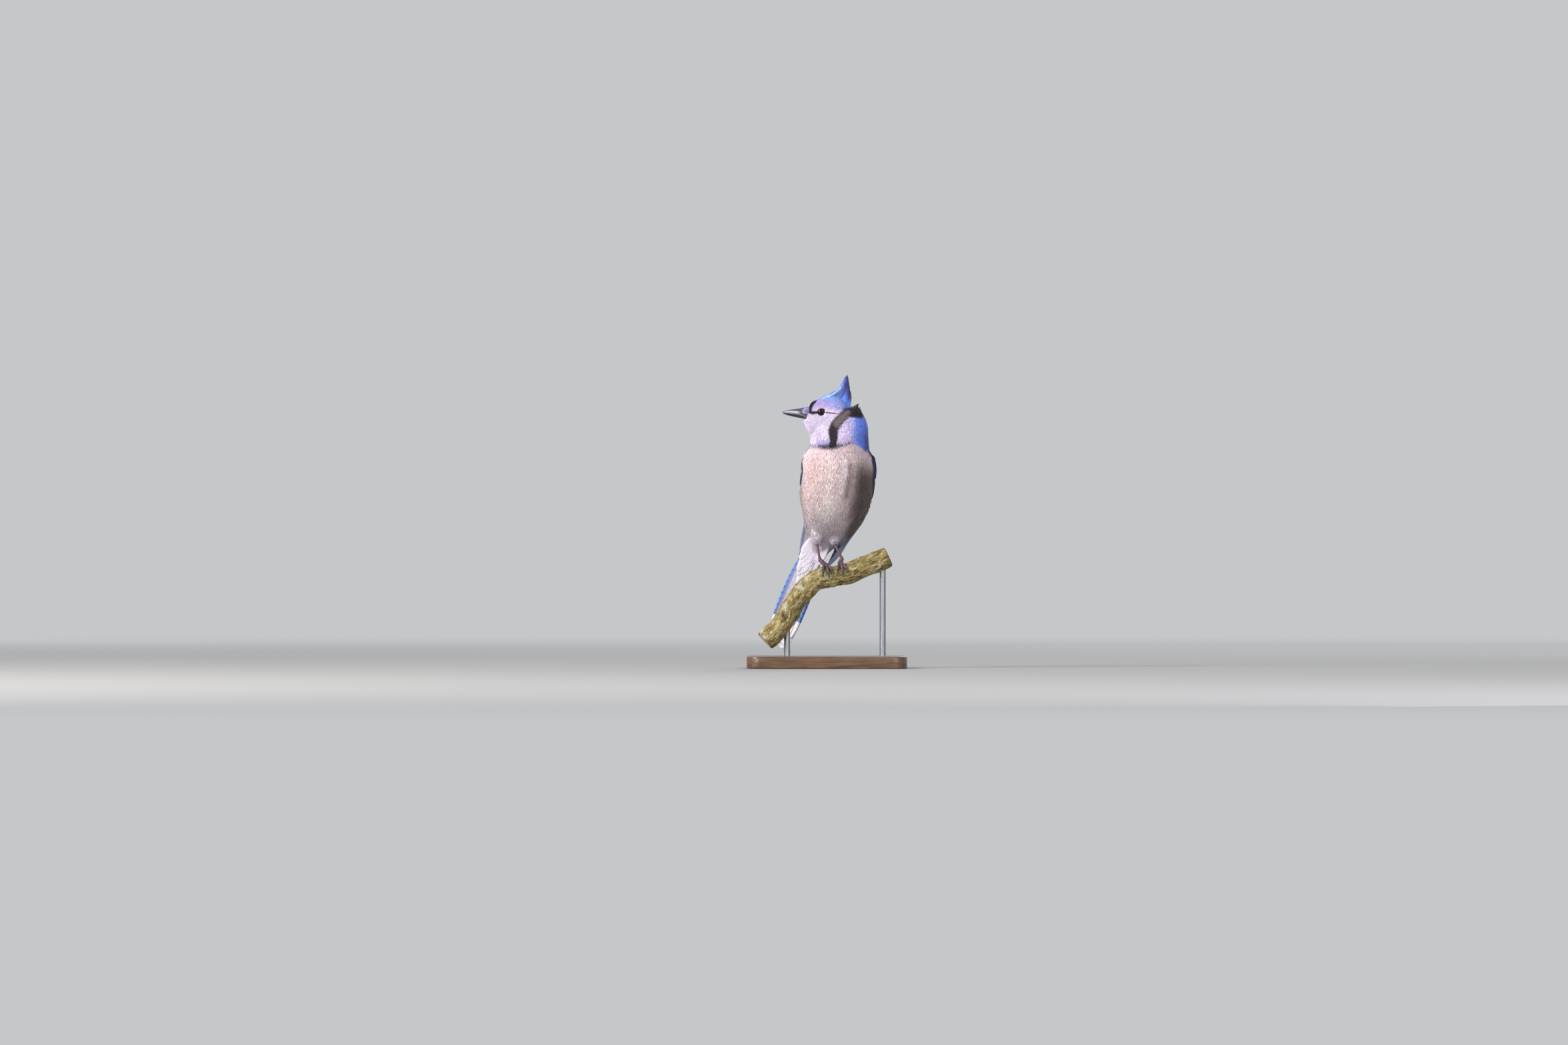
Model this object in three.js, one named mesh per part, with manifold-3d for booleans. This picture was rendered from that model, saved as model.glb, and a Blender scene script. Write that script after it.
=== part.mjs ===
// A life-size model of a blue jay, perched on a short cut branch above a plain stand.
// Millimetres, +Z up. The origin is the centre of the underside of the base.
// The breast faces -Y and +X is the bird's left. The head is turned to the bird's right,
// so the bill points to -X.
import * as THREE from "three";
import { mergeVertices } from "three/addons/utils/BufferGeometryUtils.js";
import Module from "manifold-3d";

const wasm = await Module();
wasm.setup();

const vec = (x, y, z) => new THREE.Vector3(x, y, z);
const rad = THREE.MathUtils.degToRad;
const mix = THREE.MathUtils.lerp;
const ease = (t) => THREE.MathUtils.smoothstep(t, 0, 1);

// Space kept between two nodes that meet.
const GAP = 0.3;

// Axis of the body, from inside the head, down the trunk, to the tip of the tail.
const SPINE = new THREE.CatmullRomCurve3(
  [
    vec(9, -18, 256),
    vec(11.5, -17, 236),
    vec(12.4, -15, 220),
    vec(11.6, -11, 200),
    vec(9.4, -3.5, 177),
    vec(5, 8, 152),
    vec(-4, 20, 130),
    vec(-15.8, 29.5, 107),
    vec(-28, 39.5, 75),
    vec(-38.6, 48.5, 48),
    vec(-48.5, 56.5, 19),
  ],
  false,
  "centripetal",
);
SPINE.arcLengthDivisions = 600;
const SPINE_LENGTH = SPINE.getLength();
const BODY_YAW = rad(6);
const BODY_LEFT = vec(Math.cos(BODY_YAW), -Math.sin(BODY_YAW), 0);

// Trunk sections along the spine: distance from its top, half width, depth to the breast and to the back.
const TRUNK = [
  { at: 2, side: 14, front: 11, back: 11 },
  { at: 8, side: 22.5, front: 15.5, back: 15.5 },
  { at: 16, side: 27.2, front: 19, back: 18.5 },
  { at: 24, side: 29, front: 22, back: 21 },
  { at: 32, side: 28.4, front: 25, back: 23.5 },
  { at: 39, side: 28.8, front: 27.5, back: 25 },
  { at: 47, side: 30, front: 30, back: 26 },
  { at: 58, side: 32.6, front: 32.3, back: 26.4 },
  { at: 70, side: 33.6, front: 33.6, back: 26 },
  { at: 83, side: 33.8, front: 33.6, back: 25 },
  { at: 94, side: 32.8, front: 32.2, back: 23.6 },
  { at: 106, side: 30.2, front: 28.6, back: 21.4 },
  { at: 117, side: 26.6, front: 22.6, back: 18.6 },
  { at: 127, side: 22.2, front: 16, back: 15.4 },
  { at: 136, side: 17.8, front: 10.4, back: 11.8 },
  { at: 144, side: 14, front: 7.4, back: 8.4 },
];
const TRUNK_SIDES = 32;
const TRUNK_STEP = 9;

// Planes that part the trunk, as distances along the spine.
const NECK_FOOT = 39;
const TAIL_ROOT = 139;

// Head sections across the direction of the bill: place on X, crown height, throat height, half width.
const HEAD_Y = -18;
const HEAD = [
  { at: -22.4, top: 242.3, bottom: 239.8, half: 2 },
  { at: -20.6, top: 242.9, bottom: 236, half: 5.4 },
  { at: -18.8, top: 247, bottom: 232.4, half: 7.8 },
  { at: -17.4, top: 256.4, bottom: 229, half: 9.2 },
  { at: -13.5, top: 260.4, bottom: 226, half: 11.2 },
  { at: -7, top: 262.8, bottom: 227.5, half: 13 },
  { at: 0, top: 265, bottom: 227, half: 14.4 },
  { at: 7, top: 266, bottom: 227.5, half: 15 },
  { at: 13, top: 263.6, bottom: 229, half: 14.8 },
  { at: 19, top: 257.6, bottom: 231, half: 13.8 },
  { at: 25, top: 253.6, bottom: 234, half: 12 },
  { at: 30, top: 251.4, bottom: 237, half: 9 },
  { at: 33.4, top: 248.4, bottom: 241, half: 4.6 },
];
const HEAD_SIDES = 24;
// Plane that parts the head from the neck, rising from the chin to the nape.
const HEAD_FOOT = { point: vec(-19, HEAD_Y, 238), up: vec(-0.13, 0, 0.99).normalize() };

// Eyes, each set in a socket with an upper and a lower lid round an almond opening.
const EYE = { x: -5.2, z: 249.7, fromMiddle: 9, radius: 5, columns: 12, rows: 8 };
const LID = {
  thickness: 0.75, halfWidth: 3.6, upperArch: 3.56, lowerArch: 4, archWidth: 2.44, frontDrop: 0.3,
};

// Bill sections from the tip to inside the face: culmen, line of the mouth, lower edge and half width.
const BILL = [
  { at: -43.6, culmen: 249.75, mouth: 249.25, keel: 248.9, half: 0.35 },
  { at: -42.2, culmen: 250.4, mouth: 249.2, keel: 248.1, half: 1 },
  { at: -39, culmen: 251.3, mouth: 248.95, keel: 246.9, half: 1.75 },
  { at: -35, culmen: 252.1, mouth: 248.4, keel: 245.8, half: 2.4 },
  { at: -30, culmen: 252.8, mouth: 247.75, keel: 244.7, half: 3.1 },
  { at: -26, culmen: 253.3, mouth: 247.05, keel: 243.9, half: 3.7 },
  { at: -22, culmen: 254.2, mouth: 245.6, keel: 243, half: 4.4 },
  { at: -18, culmen: 254.9, mouth: 243.9, keel: 242, half: 5 },
  { at: -13, culmen: 254.6, mouth: 243.3, keel: 241.2, half: 5.2 },
];
const LOWER_BILL_SETBACK = 0.9;
const LOWER_BILL_WIDTH = 0.94;
// Half of the round of a bill half's section: share of its half width, share of its height.
const BILL_ARCH = [
  [1, 0],
  [0.94, 0.36],
  [0.66, 0.74],
  [0.22, 0.97],
];
const NOSTRIL = { x: -22.6, z: 250.9, fromMiddle: 3.6, length: 1.5, height: 0.75 };

// Widths of a feather along its length, as parts of its full width.
const FLIGHT_SHAPE = [
  [0, 0.45],
  [0.3, 0.95],
  [0.66, 1],
  [0.9, 0.8],
  [1, 0.3],
];
const TAIL_SHAPE = [
  [0, 0.45],
  [0.3, 1],
  [0.86, 0.92],
  [1, 0.32],
];
const COVERT_SHAPE = [
  [0, 0.55],
  [0.6, 1],
  [1, 0.42],
];
const VANE_THICKNESS = 0.52;
const TIP_THICKNESS = 0.4;

// Bed that the wing lies on: the trunk as far as the rump, then a straight run to the wing tip.
const WING_BED = [
  ...TRUNK.filter((row) => row.at <= 94),
  { at: 106, side: 30.4, back: 23 },
  { at: 117, side: 27.8, back: 21.4 },
  { at: 127, side: 25.4, back: 20 },
  { at: 136, side: 23.6, back: 18.6 },
  { at: 148, side: 22.6, back: 16.6 },
  { at: 158, side: 20.4, back: 15 },
  { at: 170, side: 17.6, back: 13.4 },
];
const WING_EDGE_START = 96;
const WING_TIP_AT = 166;
// The hand is +1 for the left wing and -1 for the right one, which lies closer behind the tail.
const WINGS = {
  left: { hand: 1, edge: rad(10), tipEdge: rad(14) },
  right: { hand: -1, edge: rad(14), tipEdge: rad(50) },
};

// Flesh of the folded arm under the coverts: from its wrist end to its last feather root.
const ARM = [
  { at: 44, from: 6, to: 31, lift: 1 },
  { at: 49, from: 2.5, to: 35, lift: 2 },
  { at: 59, from: 1, to: 38, lift: 2.5 },
  { at: 70, from: 1, to: 38, lift: 2.5 },
  { at: 80, from: 1.2, to: 36, lift: 2.2 },
  { at: 87, from: 2.5, to: 32, lift: 1.3 },
];
const ARM_COLUMNS = 6;
const ARM_EDGE = 0.35;

// Feather tiers of a wing. "at" runs down the body and "across" from the wing's lower edge to the back.
const WING_TIERS = [
  {
    count: 5, root: 72, rootStep: -1, tip: 166, tipStep: -5, across: 3, step: 2, width: 6.6,
    rootLift: 1.2, lift: 1.9, tilt: rad(26), shape: FLIGHT_SHAPE,
  },
  {
    count: 5, root: 67, rootStep: -1, tip: 141, tipStep: -4.5, across: 13.4, step: 2.7, width: 8.4,
    rootLift: 1.2, lift: 2.1, tilt: rad(20), shape: FLIGHT_SHAPE,
  },
  {
    count: 3, root: 63, rootStep: -1.5, tip: 117, tipStep: -8, across: 27.4, step: 3.8, width: 9.6,
    rootLift: 1.3, lift: 2.2, tilt: rad(16), shape: FLIGHT_SHAPE,
  },
  {
    count: 3, root: 61, rootStep: -1, tip: 91, tipStep: -2.5, across: 3.4, step: 3, width: 5.8,
    rootLift: 2, lift: 3.7, tilt: rad(17), shape: COVERT_SHAPE,
  },
  {
    count: 5, root: 58, rootStep: -0.6, tip: 86, tipStep: -1.4, across: 13.4, step: 4.6, width: 8,
    rootLift: 2, lift: 3.9, tilt: rad(14), shape: COVERT_SHAPE,
  },
  {
    count: 5, root: 51, rootStep: 0, tip: 71, tipStep: -0.6, across: 5.4, step: 6, width: 9,
    rootLift: 1.8, lift: 3.9, tilt: rad(12), shape: COVERT_SHAPE,
  },
  {
    count: 4, root: 46.5, rootStep: 0, tip: 60, tipStep: -0.4, across: 9, step: 6.4, width: 9,
    rootLift: 1, lift: 3.4, tilt: rad(12), shape: COVERT_SHAPE,
  },
  {
    count: 2, root: 51, rootStep: 0, tip: 78, tipStep: -6, across: 0.6, step: 2, width: 3.6,
    rootLift: 1.2, lift: 2.6, tilt: rad(4), shape: COVERT_SHAPE,
  },
];
// Scapulars lie along the upper edge, over the bases of the tertials.
const SCAPULARS = {
  count: 4, root: 48, rootStep: 8, length: 28, across: 35.5, drift: -2, width: 9, rootLift: 1.9, lift: 4.8,
  tilt: rad(6),
};

// Tail: a flat root that carries the coverts above and below and twelve rectrices in a closed fan.
const TAIL_STEM = [
  { at: 136, side: 17.8, front: 10.4, back: 11.8 },
  { at: 144, side: 14.6, front: 8, back: 8.4 },
  { at: 152, side: 13, front: 6.6, back: 5.6 },
  { at: 160, side: 12, front: 4.6, back: 3.6 },
  { at: 167, side: 11, front: 3, back: 2.2 },
  { at: 171, side: 9.6, front: 1.8, back: 1.2 },
];
const TAIL_STEM_SIDES = 20;
const RECTRICES = {
  pairs: 6, root: 153, tip: SPINE_LENGTH, outerShorter: 13, pitch: 0.86, topDepth: 1.9,
  inner: 0.25, weave: 2.6, outer: 9.6, outerStep: 1.02, rootInner: 1.6, rootOuter: 6,
};
const UPPER_TAIL_COVERTS = [
  { at: 141, tip: 168, side: [-8, -2.8, 2.8, 8], width: 7, rootDepth: 5, depth: 4.4 },
  { at: 148, tip: 180, side: [-5, 0, 5], width: 6.6, rootDepth: 3.2, depth: 3.1 },
];
const UNDER_TAIL_COVERTS = [
  { at: 141, tip: 170, side: [-8.4, 0, 8.4], width: 9.4, rootDepth: -6, depth: -5.9 },
  { at: 147, tip: 180, side: [-6, 0, 6], width: 7.6, rootDepth: -4.6, depth: -4.8 },
  { at: 153, tip: 191, side: [-3.4, 3.4], width: 7.4, rootDepth: -3.2, depth: -3.8 },
];

// Crest feathers in rows from the forehead back: root, bend and tip in the plane of the profile.
const CREST = [
  {
    root: [-11, 257], bend: [-3, 265.8], tip: [7, 268.8],
    spread: 6, count: 2, width: 6.6, fan: 1.1, turn: rad(28),
  },
  {
    root: [-5, 259], bend: [4, 268.8], tip: [12.4, 272.2],
    spread: 8, count: 3, width: 6.4, fan: 1, turn: rad(34),
  },
  {
    root: [3, 260], bend: [13.6, 267.6], tip: [16.6, 280.4],
    spread: 4.8, count: 2, width: 6.6, fan: 0.6, turn: rad(52),
  },
  {
    root: [6, 258], bend: [16.8, 264.5], tip: [20.2, 288.8],
    spread: 3.6, count: 2, width: 6.2, fan: 0.4, turn: rad(58),
  },
  {
    root: [8.5, 256], bend: [19, 262], tip: [21.6, 281],
    spread: 5, count: 2, width: 6.6, fan: 0.6, turn: rad(54),
  },
  {
    root: [10.5, 253], bend: [20.2, 259], tip: [22.6, 273.4],
    spread: 7, count: 3, width: 6.6, fan: 0.9, turn: rad(46),
  },
  {
    root: [12, 249], bend: [20.6, 254.6], tip: [24.8, 265],
    spread: 9, count: 3, width: 6.2, fan: 1, turn: rad(36),
  },
];
const CREST_THICKNESS = 0.55;
// How far the outer feathers of a row sit lower and end shorter than its middle one.
const CREST_DROP = 0.16;
const CREST_LOSS = 0.16;
const LOCK_SHAPE = [
  [0, 0.7],
  [0.45, 1],
  [0.8, 0.66],
  [1, 0.16],
];
// Bristly feathers that cover the nostrils, alike on each side. The top one leans over the culmen.
const NASAL = {
  heights: [253.2, 251.3, 249.4], lean: 0.3, width: 2.3,
  root: { x: -14, fromMiddle: 6.6, rise: -0.6 },
  bend: { x: -19.5, fromMiddle: 6.1, rise: 0.2 },
  tip: { x: -25.6, fromMiddle: 4.6, rise: -0.4, shorter: 1.5 },
};
// Loose tufts of the collar at the nape.
const NAPE_TURN = rad(50);
const NAPE_TUFTS = [
  { root: [22, 248], bend: [28.5, 253], tip: [32.5, 258.6], side: 1.5, width: 4.4 },
  { root: [23, 245], bend: [29, 249.5], tip: [33.6, 254], side: -2.4, width: 4.6 },
  { root: [20, 250], bend: [25, 254], tip: [29.6, 257], side: -5.6, width: 4.6 },
];

// Perch: a bent length of branch, sawn at both ends.
const PERCH = new THREE.CatmullRomCurve3(
  [
    vec(-60, -15, 26.5),
    vec(-47, -13.5, 39),
    vec(-36.4, -10.5, 55.6),
    vec(-23.4, -6, 73.8),
    vec(-8.6, -1.5, 86.6),
    vec(6.5, 0.6, 90),
    vec(19.5, 1.4, 92),
    vec(33, 2.2, 97.2),
    vec(46, 3, 102.4),
    vec(60, 4, 109),
  ],
  false,
  "centripetal",
);
PERCH.arcLengthDivisions = 400;
const PERCH_LENGTH = PERCH.getLength();
const PERCH_RADIUS = 10.2;
const PERCH_SIDES = 14;
const PERCH_STEPS = 18;
const BARK_DEPTH = 0.35;
const PERCH_KNOTS = [
  { at: 38, angle: rad(200), size: 2.2, reach: 7 },
  { at: 128, angle: rad(30), size: 2, reach: 6 },
];

// Legs. Each tarsus runs from its ankle to the foot, and the thigh feathers end at the ankle.
const LEGS = {
  left: { hip: vec(9, 4, 144), ankle: vec(7.4, 10, 122), foot: vec(14.8, 1.6, 107.2), perchAt: 105.5 },
  right: { hip: vec(-8, 5, 144), ankle: vec(-9.6, 10, 122), foot: vec(-6.6, 1.2, 105.6), perchAt: 90.5 },
};
const THIGH = { hipRadius: 7.6, midRadius: 7, ankleRadius: 2.9, forward: -1.4, sides: 14, steps: 7 };
const TARSUS = { ankleRadius: 1.75, shaftRadius: 1.3, footRadius: 1.75 };
const LEG_SIDES = 10;

// Toes, each with its place along the perch at the claw and the angle it reaches round it from the top.
const TOES = [
  { name: "inner", along: -4.3, reach: rad(62), claw: rad(27), radius: 1.35 },
  { name: "middle", along: 0.6, reach: rad(74), claw: rad(27), radius: 1.45 },
  { name: "outer", along: 4.6, reach: rad(64), claw: rad(25), radius: 1.3 },
  { name: "hind", along: -0.6, reach: rad(-58), claw: rad(-32), radius: 1.55 },
];
const TOE_SIDES = 7;
const TOE_STEPS = 5;
const PALM = { radius: 2.5, height: 1.6 };
const CLAW = { radius: 0.95, steps: 3, sides: 6, arch: 1.1, setback: 0.62 };

// Display stand.
const BASE = { width: 156, depth: 136, height: 12, corner: 14, bevel: 1.5 };
const ROD_RADIUS = 3;
const ROD_SIDES = 20;
const RODS = { stand_rod_left: 148, stand_rod_right: 34 };

// Seeded draws between -1 and 1, so that every run gives the same feathers.
let seed = 20260;
function wobble() {
  seed = (Math.imul(seed, 1664525) + 1013904223) >>> 0;
  return (seed / 4294967296) * 2 - 1;
}

// Smooth value of one column of a table of sections, at a distance along it.
function column(rows, key, at) {
  const last = rows.length - 1;
  if (at <= rows[0].at) return rows[0][key];
  if (at >= rows[last].at) return rows[last][key];
  let row = 0;
  while (rows[row + 1].at < at) row += 1;
  const [a, b] = [rows[row], rows[row + 1]];
  const before = rows[Math.max(row - 1, 0)];
  const after = rows[Math.min(row + 2, last)];
  const span = b.at - a.at;
  const t = (at - a.at) / span;
  const slopeA = ((b[key] - before[key]) / (b.at - before.at)) * span;
  const slopeB = ((after[key] - a[key]) / (after.at - a.at)) * span;
  const rise = b[key] - a[key];
  return a[key] + t * (slopeA + t * (3 * rise - 2 * slopeA - slopeB + t * (slopeA + slopeB - 2 * rise)));
}

// A closed geometry from points and triangles, turned so that its faces point out.
function closedGeometry(points, triangles) {
  let volume = 0;
  for (const [a, b, c] of triangles) {
    volume += points[a].dot(vec(0, 0, 0).crossVectors(points[b], points[c]));
  }
  const facing = volume < 0 ? triangles.map(([a, b, c]) => [a, c, b]) : triangles;
  const geometry = new THREE.BufferGeometry().setFromPoints(points);
  geometry.setIndex(facing.flat());
  return geometry;
}

// A closed geometry as a solid that can be joined and cut.
function solidOf(geometry) {
  const bare = geometry.clone();
  bare.deleteAttribute("normal");
  bare.deleteAttribute("uv");
  const merged = mergeVertices(bare, 1e-4);
  return new wasm.Manifold(
    new wasm.Mesh({
      numProp: 3,
      vertProperties: new Float32Array(merged.attributes.position.array),
      triVerts: new Uint32Array(merged.index.array),
    }),
  );
}

function join(solids) {
  return solids.reduce((whole, solid) => whole.add(solid));
}

// Keeps what lies on the side that a plane's normal points to, moved along it by an offset.
function keepAbove(solid, normal, point, offset = 0) {
  return solid.trimByPlane([normal.x, normal.y, normal.z], normal.dot(point) + offset);
}

// A closed skin over rings of points, with a fan over each end ring.
function loft(rings) {
  const sides = rings[0].length;
  const points = rings.flat();
  const triangles = [];
  for (let ring = 0; ring < rings.length - 1; ring += 1) {
    for (let side = 0; side < sides; side += 1) {
      const a = ring * sides + side;
      const b = ring * sides + ((side + 1) % sides);
      triangles.push([a, b, b + sides], [a, b + sides, a + sides]);
    }
  }
  for (const ring of [0, rings.length - 1]) {
    const middle = rings[ring].reduce((sum, point) => sum.add(point), vec(0, 0, 0)).divideScalar(sides);
    const centre = points.push(middle) - 1;
    for (let side = 0; side < sides; side += 1) {
      const a = ring * sides + side;
      const b = ring * sides + ((side + 1) % sides);
      triangles.push(ring === 0 ? [centre, b, a] : [centre, a, b]);
    }
  }
  return solidOf(closedGeometry(points, triangles));
}

// A round tube along a path, with a radius that follows it. Its first corners lie towards +Y.
function tube(path, radiusAt, sides, steps) {
  const rings = [];
  for (let step = 0; step <= steps; step += 1) {
    const t = step / steps;
    const point = path.getPoint(t);
    const along = path.getTangent(t);
    const first = vec(0, 1, 0).addScaledVector(along, -along.y).normalize();
    const second = vec(0, 0, 0).crossVectors(along, first);
    rings.push(
      Array.from({ length: sides }, (_, side) => {
        const angle = (side / sides) * 2 * Math.PI;
        const radius = radiusAt(t);
        const out = point.clone().addScaledVector(first, Math.cos(angle) * radius);
        return out.addScaledVector(second, Math.sin(angle) * radius);
      }),
    );
  }
  return loft(rings);
}

// A feather vane: four corners at each station, with both faces split along the same diagonal.
function vane(stations) {
  const points = [];
  for (const { point, across, up, width, thickness } of stations) {
    for (const [side, face] of [[-1, 1], [1, 1], [1, -1], [-1, -1]]) {
      points.push(
        point.clone().addScaledVector(across, (side * width) / 2).addScaledVector(up, (face * thickness) / 2),
      );
    }
  }
  const triangles = [[0, 3, 2], [0, 2, 1]];
  for (let station = 0; station < stations.length - 1; station += 1) {
    const [a, b, c, d] = [0, 1, 2, 3].map((corner) => station * 4 + corner);
    triangles.push([a, b, b + 4], [a, b + 4, a + 4]);
    triangles.push([b, c, c + 4], [b, c + 4, b + 4]);
    triangles.push([c, d, c + 4], [d, d + 4, c + 4]);
    triangles.push([d, a, a + 4], [d, a + 4, d + 4]);
  }
  const end = (stations.length - 1) * 4;
  triangles.push([end, end + 1, end + 2], [end, end + 2, end + 3]);
  return solidOf(closedGeometry(points, triangles));
}

// Stations of a vane whose middle line and outward side are given as functions of the length.
function vaneAlong({ pointAt, acrossAt, width, shape, thickness = VANE_THICKNESS, tilt = 0 }) {
  const step = 0.01;
  return vane(
    shape.map(([t, part]) => {
      const point = pointAt(t);
      const along = pointAt(t + step).sub(pointAt(t - step)).normalize();
      const flat = acrossAt(t);
      flat.addScaledVector(along, -flat.dot(along)).normalize();
      const normal = vec(0, 0, 0).crossVectors(along, flat).normalize();
      const across = flat.clone().applyAxisAngle(along, tilt);
      const up = normal.clone().applyAxisAngle(along, tilt);
      return { point, across, up, width: width * part, thickness: mix(thickness, TIP_THICKNESS, t ** 4) };
    }),
  );
}

// Point and directions of the body at a distance along the spine.
function bodyFrame(at) {
  const share = THREE.MathUtils.clamp(at / SPINE_LENGTH, 0, 1);
  const point = SPINE.getPointAt(share);
  const down = SPINE.getTangentAt(share);
  point.addScaledVector(down, at - share * SPINE_LENGTH);
  const left = BODY_LEFT.clone().addScaledVector(down, -BODY_LEFT.dot(down)).normalize();
  const back = vec(0, 0, 0).crossVectors(left, down);
  return { point, down, left, back };
}

function bodyPoint(at, side, depth) {
  const { point, left, back } = bodyFrame(at);
  return point.addScaledVector(left, side).addScaledVector(back, depth);
}

// Rings of oval sections along the spine, each grown by the same amount all round.
function bodyRings(rows, from, to, step, sides, grow) {
  const count = Math.ceil((to - from) / step);
  return Array.from({ length: count + 1 }, (_, ring) => {
    const at = mix(from, to, ring / count);
    const side = column(rows, "side", at) + grow;
    const front = column(rows, "front", at) + grow;
    const back = column(rows, "back", at) + grow;
    return Array.from({ length: sides }, (_unused, corner) => {
      const angle = (corner / sides) * 2 * Math.PI;
      const depth = Math.sin(angle) * (Math.sin(angle) > 0 ? back : front);
      return bodyPoint(at, Math.cos(angle) * side, depth);
    });
  });
}

function trunk(grow) {
  return loft(bodyRings(TRUNK, TRUNK[0].at, TRUNK.at(-1).at, TRUNK_STEP, TRUNK_SIDES, grow));
}

function headCore(grow) {
  const rings = HEAD.map(({ at, top, bottom, half }) =>
    Array.from({ length: HEAD_SIDES }, (_, corner) => {
      const angle = (corner / HEAD_SIDES) * 2 * Math.PI;
      const height = (top - bottom) / 2 + grow;
      return vec(at, HEAD_Y + Math.cos(angle) * (half + grow), (top + bottom) / 2 + Math.sin(angle) * height);
    }),
  );
  rings[0].forEach((point) => point.setX(point.x - grow));
  rings.at(-1).forEach((point) => point.setX(point.x + grow));
  return loft(rings);
}

// Bill: the upper half overhangs the lower one at the tip, and they part along the line of the mouth.
function billHalf(upper, grow) {
  const rows = upper ? BILL : [{ ...BILL[1], at: BILL[1].at + LOWER_BILL_SETBACK }, ...BILL.slice(2)];
  const arch = [...BILL_ARCH.map(([side, rise]) => [-side, rise]), ...BILL_ARCH.toReversed()];
  const ends = new Map([[0, -grow], [rows.length - 1, grow]]);
  return loft(
    rows.map(({ at, culmen, mouth, keel, half }, index) => {
      const x = at + (ends.get(index) ?? 0);
      const edge = upper ? mouth + GAP / 2 - grow : mouth - GAP / 2 + grow;
      const far = upper ? culmen + grow : keel - grow;
      const wide = half * (upper ? 1 : LOWER_BILL_WIDTH) + grow;
      return arch.map(([side, rise]) => vec(x, HEAD_Y + side * wide, mix(edge, far, rise)));
    }),
  );
}

function ball(radius, centre) {
  const geometry = new THREE.SphereGeometry(radius, EYE.columns, EYE.rows);
  geometry.rotateX(Math.PI / 2);
  return solidOf(geometry.translate(centre.x, centre.y, centre.z));
}

function eyeCentre(hand) {
  return vec(EYE.x, HEAD_Y + hand * EYE.fromMiddle, EYE.z);
}

// Both lids as a thin shell over the eye, and the almond opening between them.
function lids(hand) {
  const { halfWidth, upperArch, lowerArch, archWidth, frontDrop } = LID;
  const almond = new THREE.Shape();
  almond.moveTo(-halfWidth, -frontDrop);
  almond.bezierCurveTo(-archWidth, upperArch, archWidth, upperArch, halfWidth, frontDrop);
  almond.bezierCurveTo(archWidth, -lowerArch, -archWidth, -lowerArch, -halfWidth, -frontDrop);
  const depth = 3 * EYE.fromMiddle;
  const opening = new THREE.ExtrudeGeometry(almond, { depth, bevelEnabled: false, curveSegments: 5 });
  opening.rotateX(Math.PI / 2);
  opening.translate(EYE.x, HEAD_Y + hand * EYE.fromMiddle + (hand > 0 ? depth : 0), EYE.z);
  return { shell: ball(EYE.radius + LID.thickness, eyeCentre(hand)), opening: solidOf(opening) };
}

// Crest, nasal and nape feathers follow a bent line in the profile, set off to one side of the middle.
function profileVane({ root, bend, tip, side, tipSide, width, turn }) {
  const curve = new THREE.QuadraticBezierCurve3(
    vec(root[0], HEAD_Y + side, root[1]),
    vec(bend[0], HEAD_Y + side, bend[1]),
    vec(tip[0], HEAD_Y + tipSide, tip[1]),
  );
  return vaneAlong({
    pointAt: (t) => curve.getPoint(t),
    acrossAt: () => vec(0, 1, 0),
    width,
    shape: LOCK_SHAPE,
    thickness: CREST_THICKNESS,
    tilt: turn,
  });
}

function crestVanes() {
  const vanes = [];
  for (const row of CREST) {
    for (let index = 0; index < row.count; index += 1) {
      const place = row.count > 1 ? (index / (row.count - 1)) * 2 - 1 : 0;
      const side = (place * row.spread) / 2;
      const drop = Math.abs(place) * row.spread * CREST_DROP;
      const reach = 1 - Math.abs(place) * CREST_LOSS + wobble() * 0.02;
      const tip = [mix(row.bend[0], row.tip[0], reach), mix(row.bend[1], row.tip[1], reach) - drop];
      vanes.push(
        profileVane({
          root: [row.root[0], row.root[1] - drop],
          bend: [row.bend[0], row.bend[1] - drop],
          tip,
          side,
          tipSide: side * row.fan,
          width: row.width,
          turn: -place * row.turn,
        }),
      );
    }
  }
  return vanes;
}

function nasalVanes() {
  const vanes = [];
  for (const hand of [-1, 1]) {
    for (const height of NASAL.heights) {
      const lean = (height - NASAL.heights[1]) * NASAL.lean;
      const over = Math.max(lean, 0);
      const { root, bend, tip } = NASAL;
      const curve = new THREE.QuadraticBezierCurve3(
        vec(root.x, HEAD_Y + hand * root.fromMiddle, height + root.rise),
        vec(bend.x, HEAD_Y + hand * (bend.fromMiddle - over), height + bend.rise),
        vec(tip.x + Math.abs(lean) * tip.shorter, HEAD_Y + hand * (tip.fromMiddle - over), height + tip.rise),
      );
      vanes.push(
        vaneAlong({
          pointAt: (t) => curve.getPoint(t),
          acrossAt: () => vec(0, -hand * over * 0.8, 1),
          width: NASAL.width,
          shape: COVERT_SHAPE,
        }),
      );
    }
  }
  return vanes;
}

function napeVanes() {
  return NAPE_TUFTS.map((tuft) => profileVane({ ...tuft, tipSide: tuft.side * 1.3, turn: NAPE_TURN }));
}

// Wings: places on the bed, given down the body, across from the lower edge, and lifted off it.
function wingPoint(wing, at, across, lift) {
  const { point, left, back } = bodyFrame(at);
  const side = column(WING_BED, "side", at);
  const depth = column(WING_BED, "back", at);
  const run = THREE.MathUtils.smoothstep(at, WING_EDGE_START, WING_TIP_AT);
  const angle = mix(wing.edge, wing.tipEdge, run) + across / side;
  return point
    .addScaledVector(left, wing.hand * Math.cos(angle) * (side + lift))
    .addScaledVector(back, Math.sin(angle) * (depth + lift));
}

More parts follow.
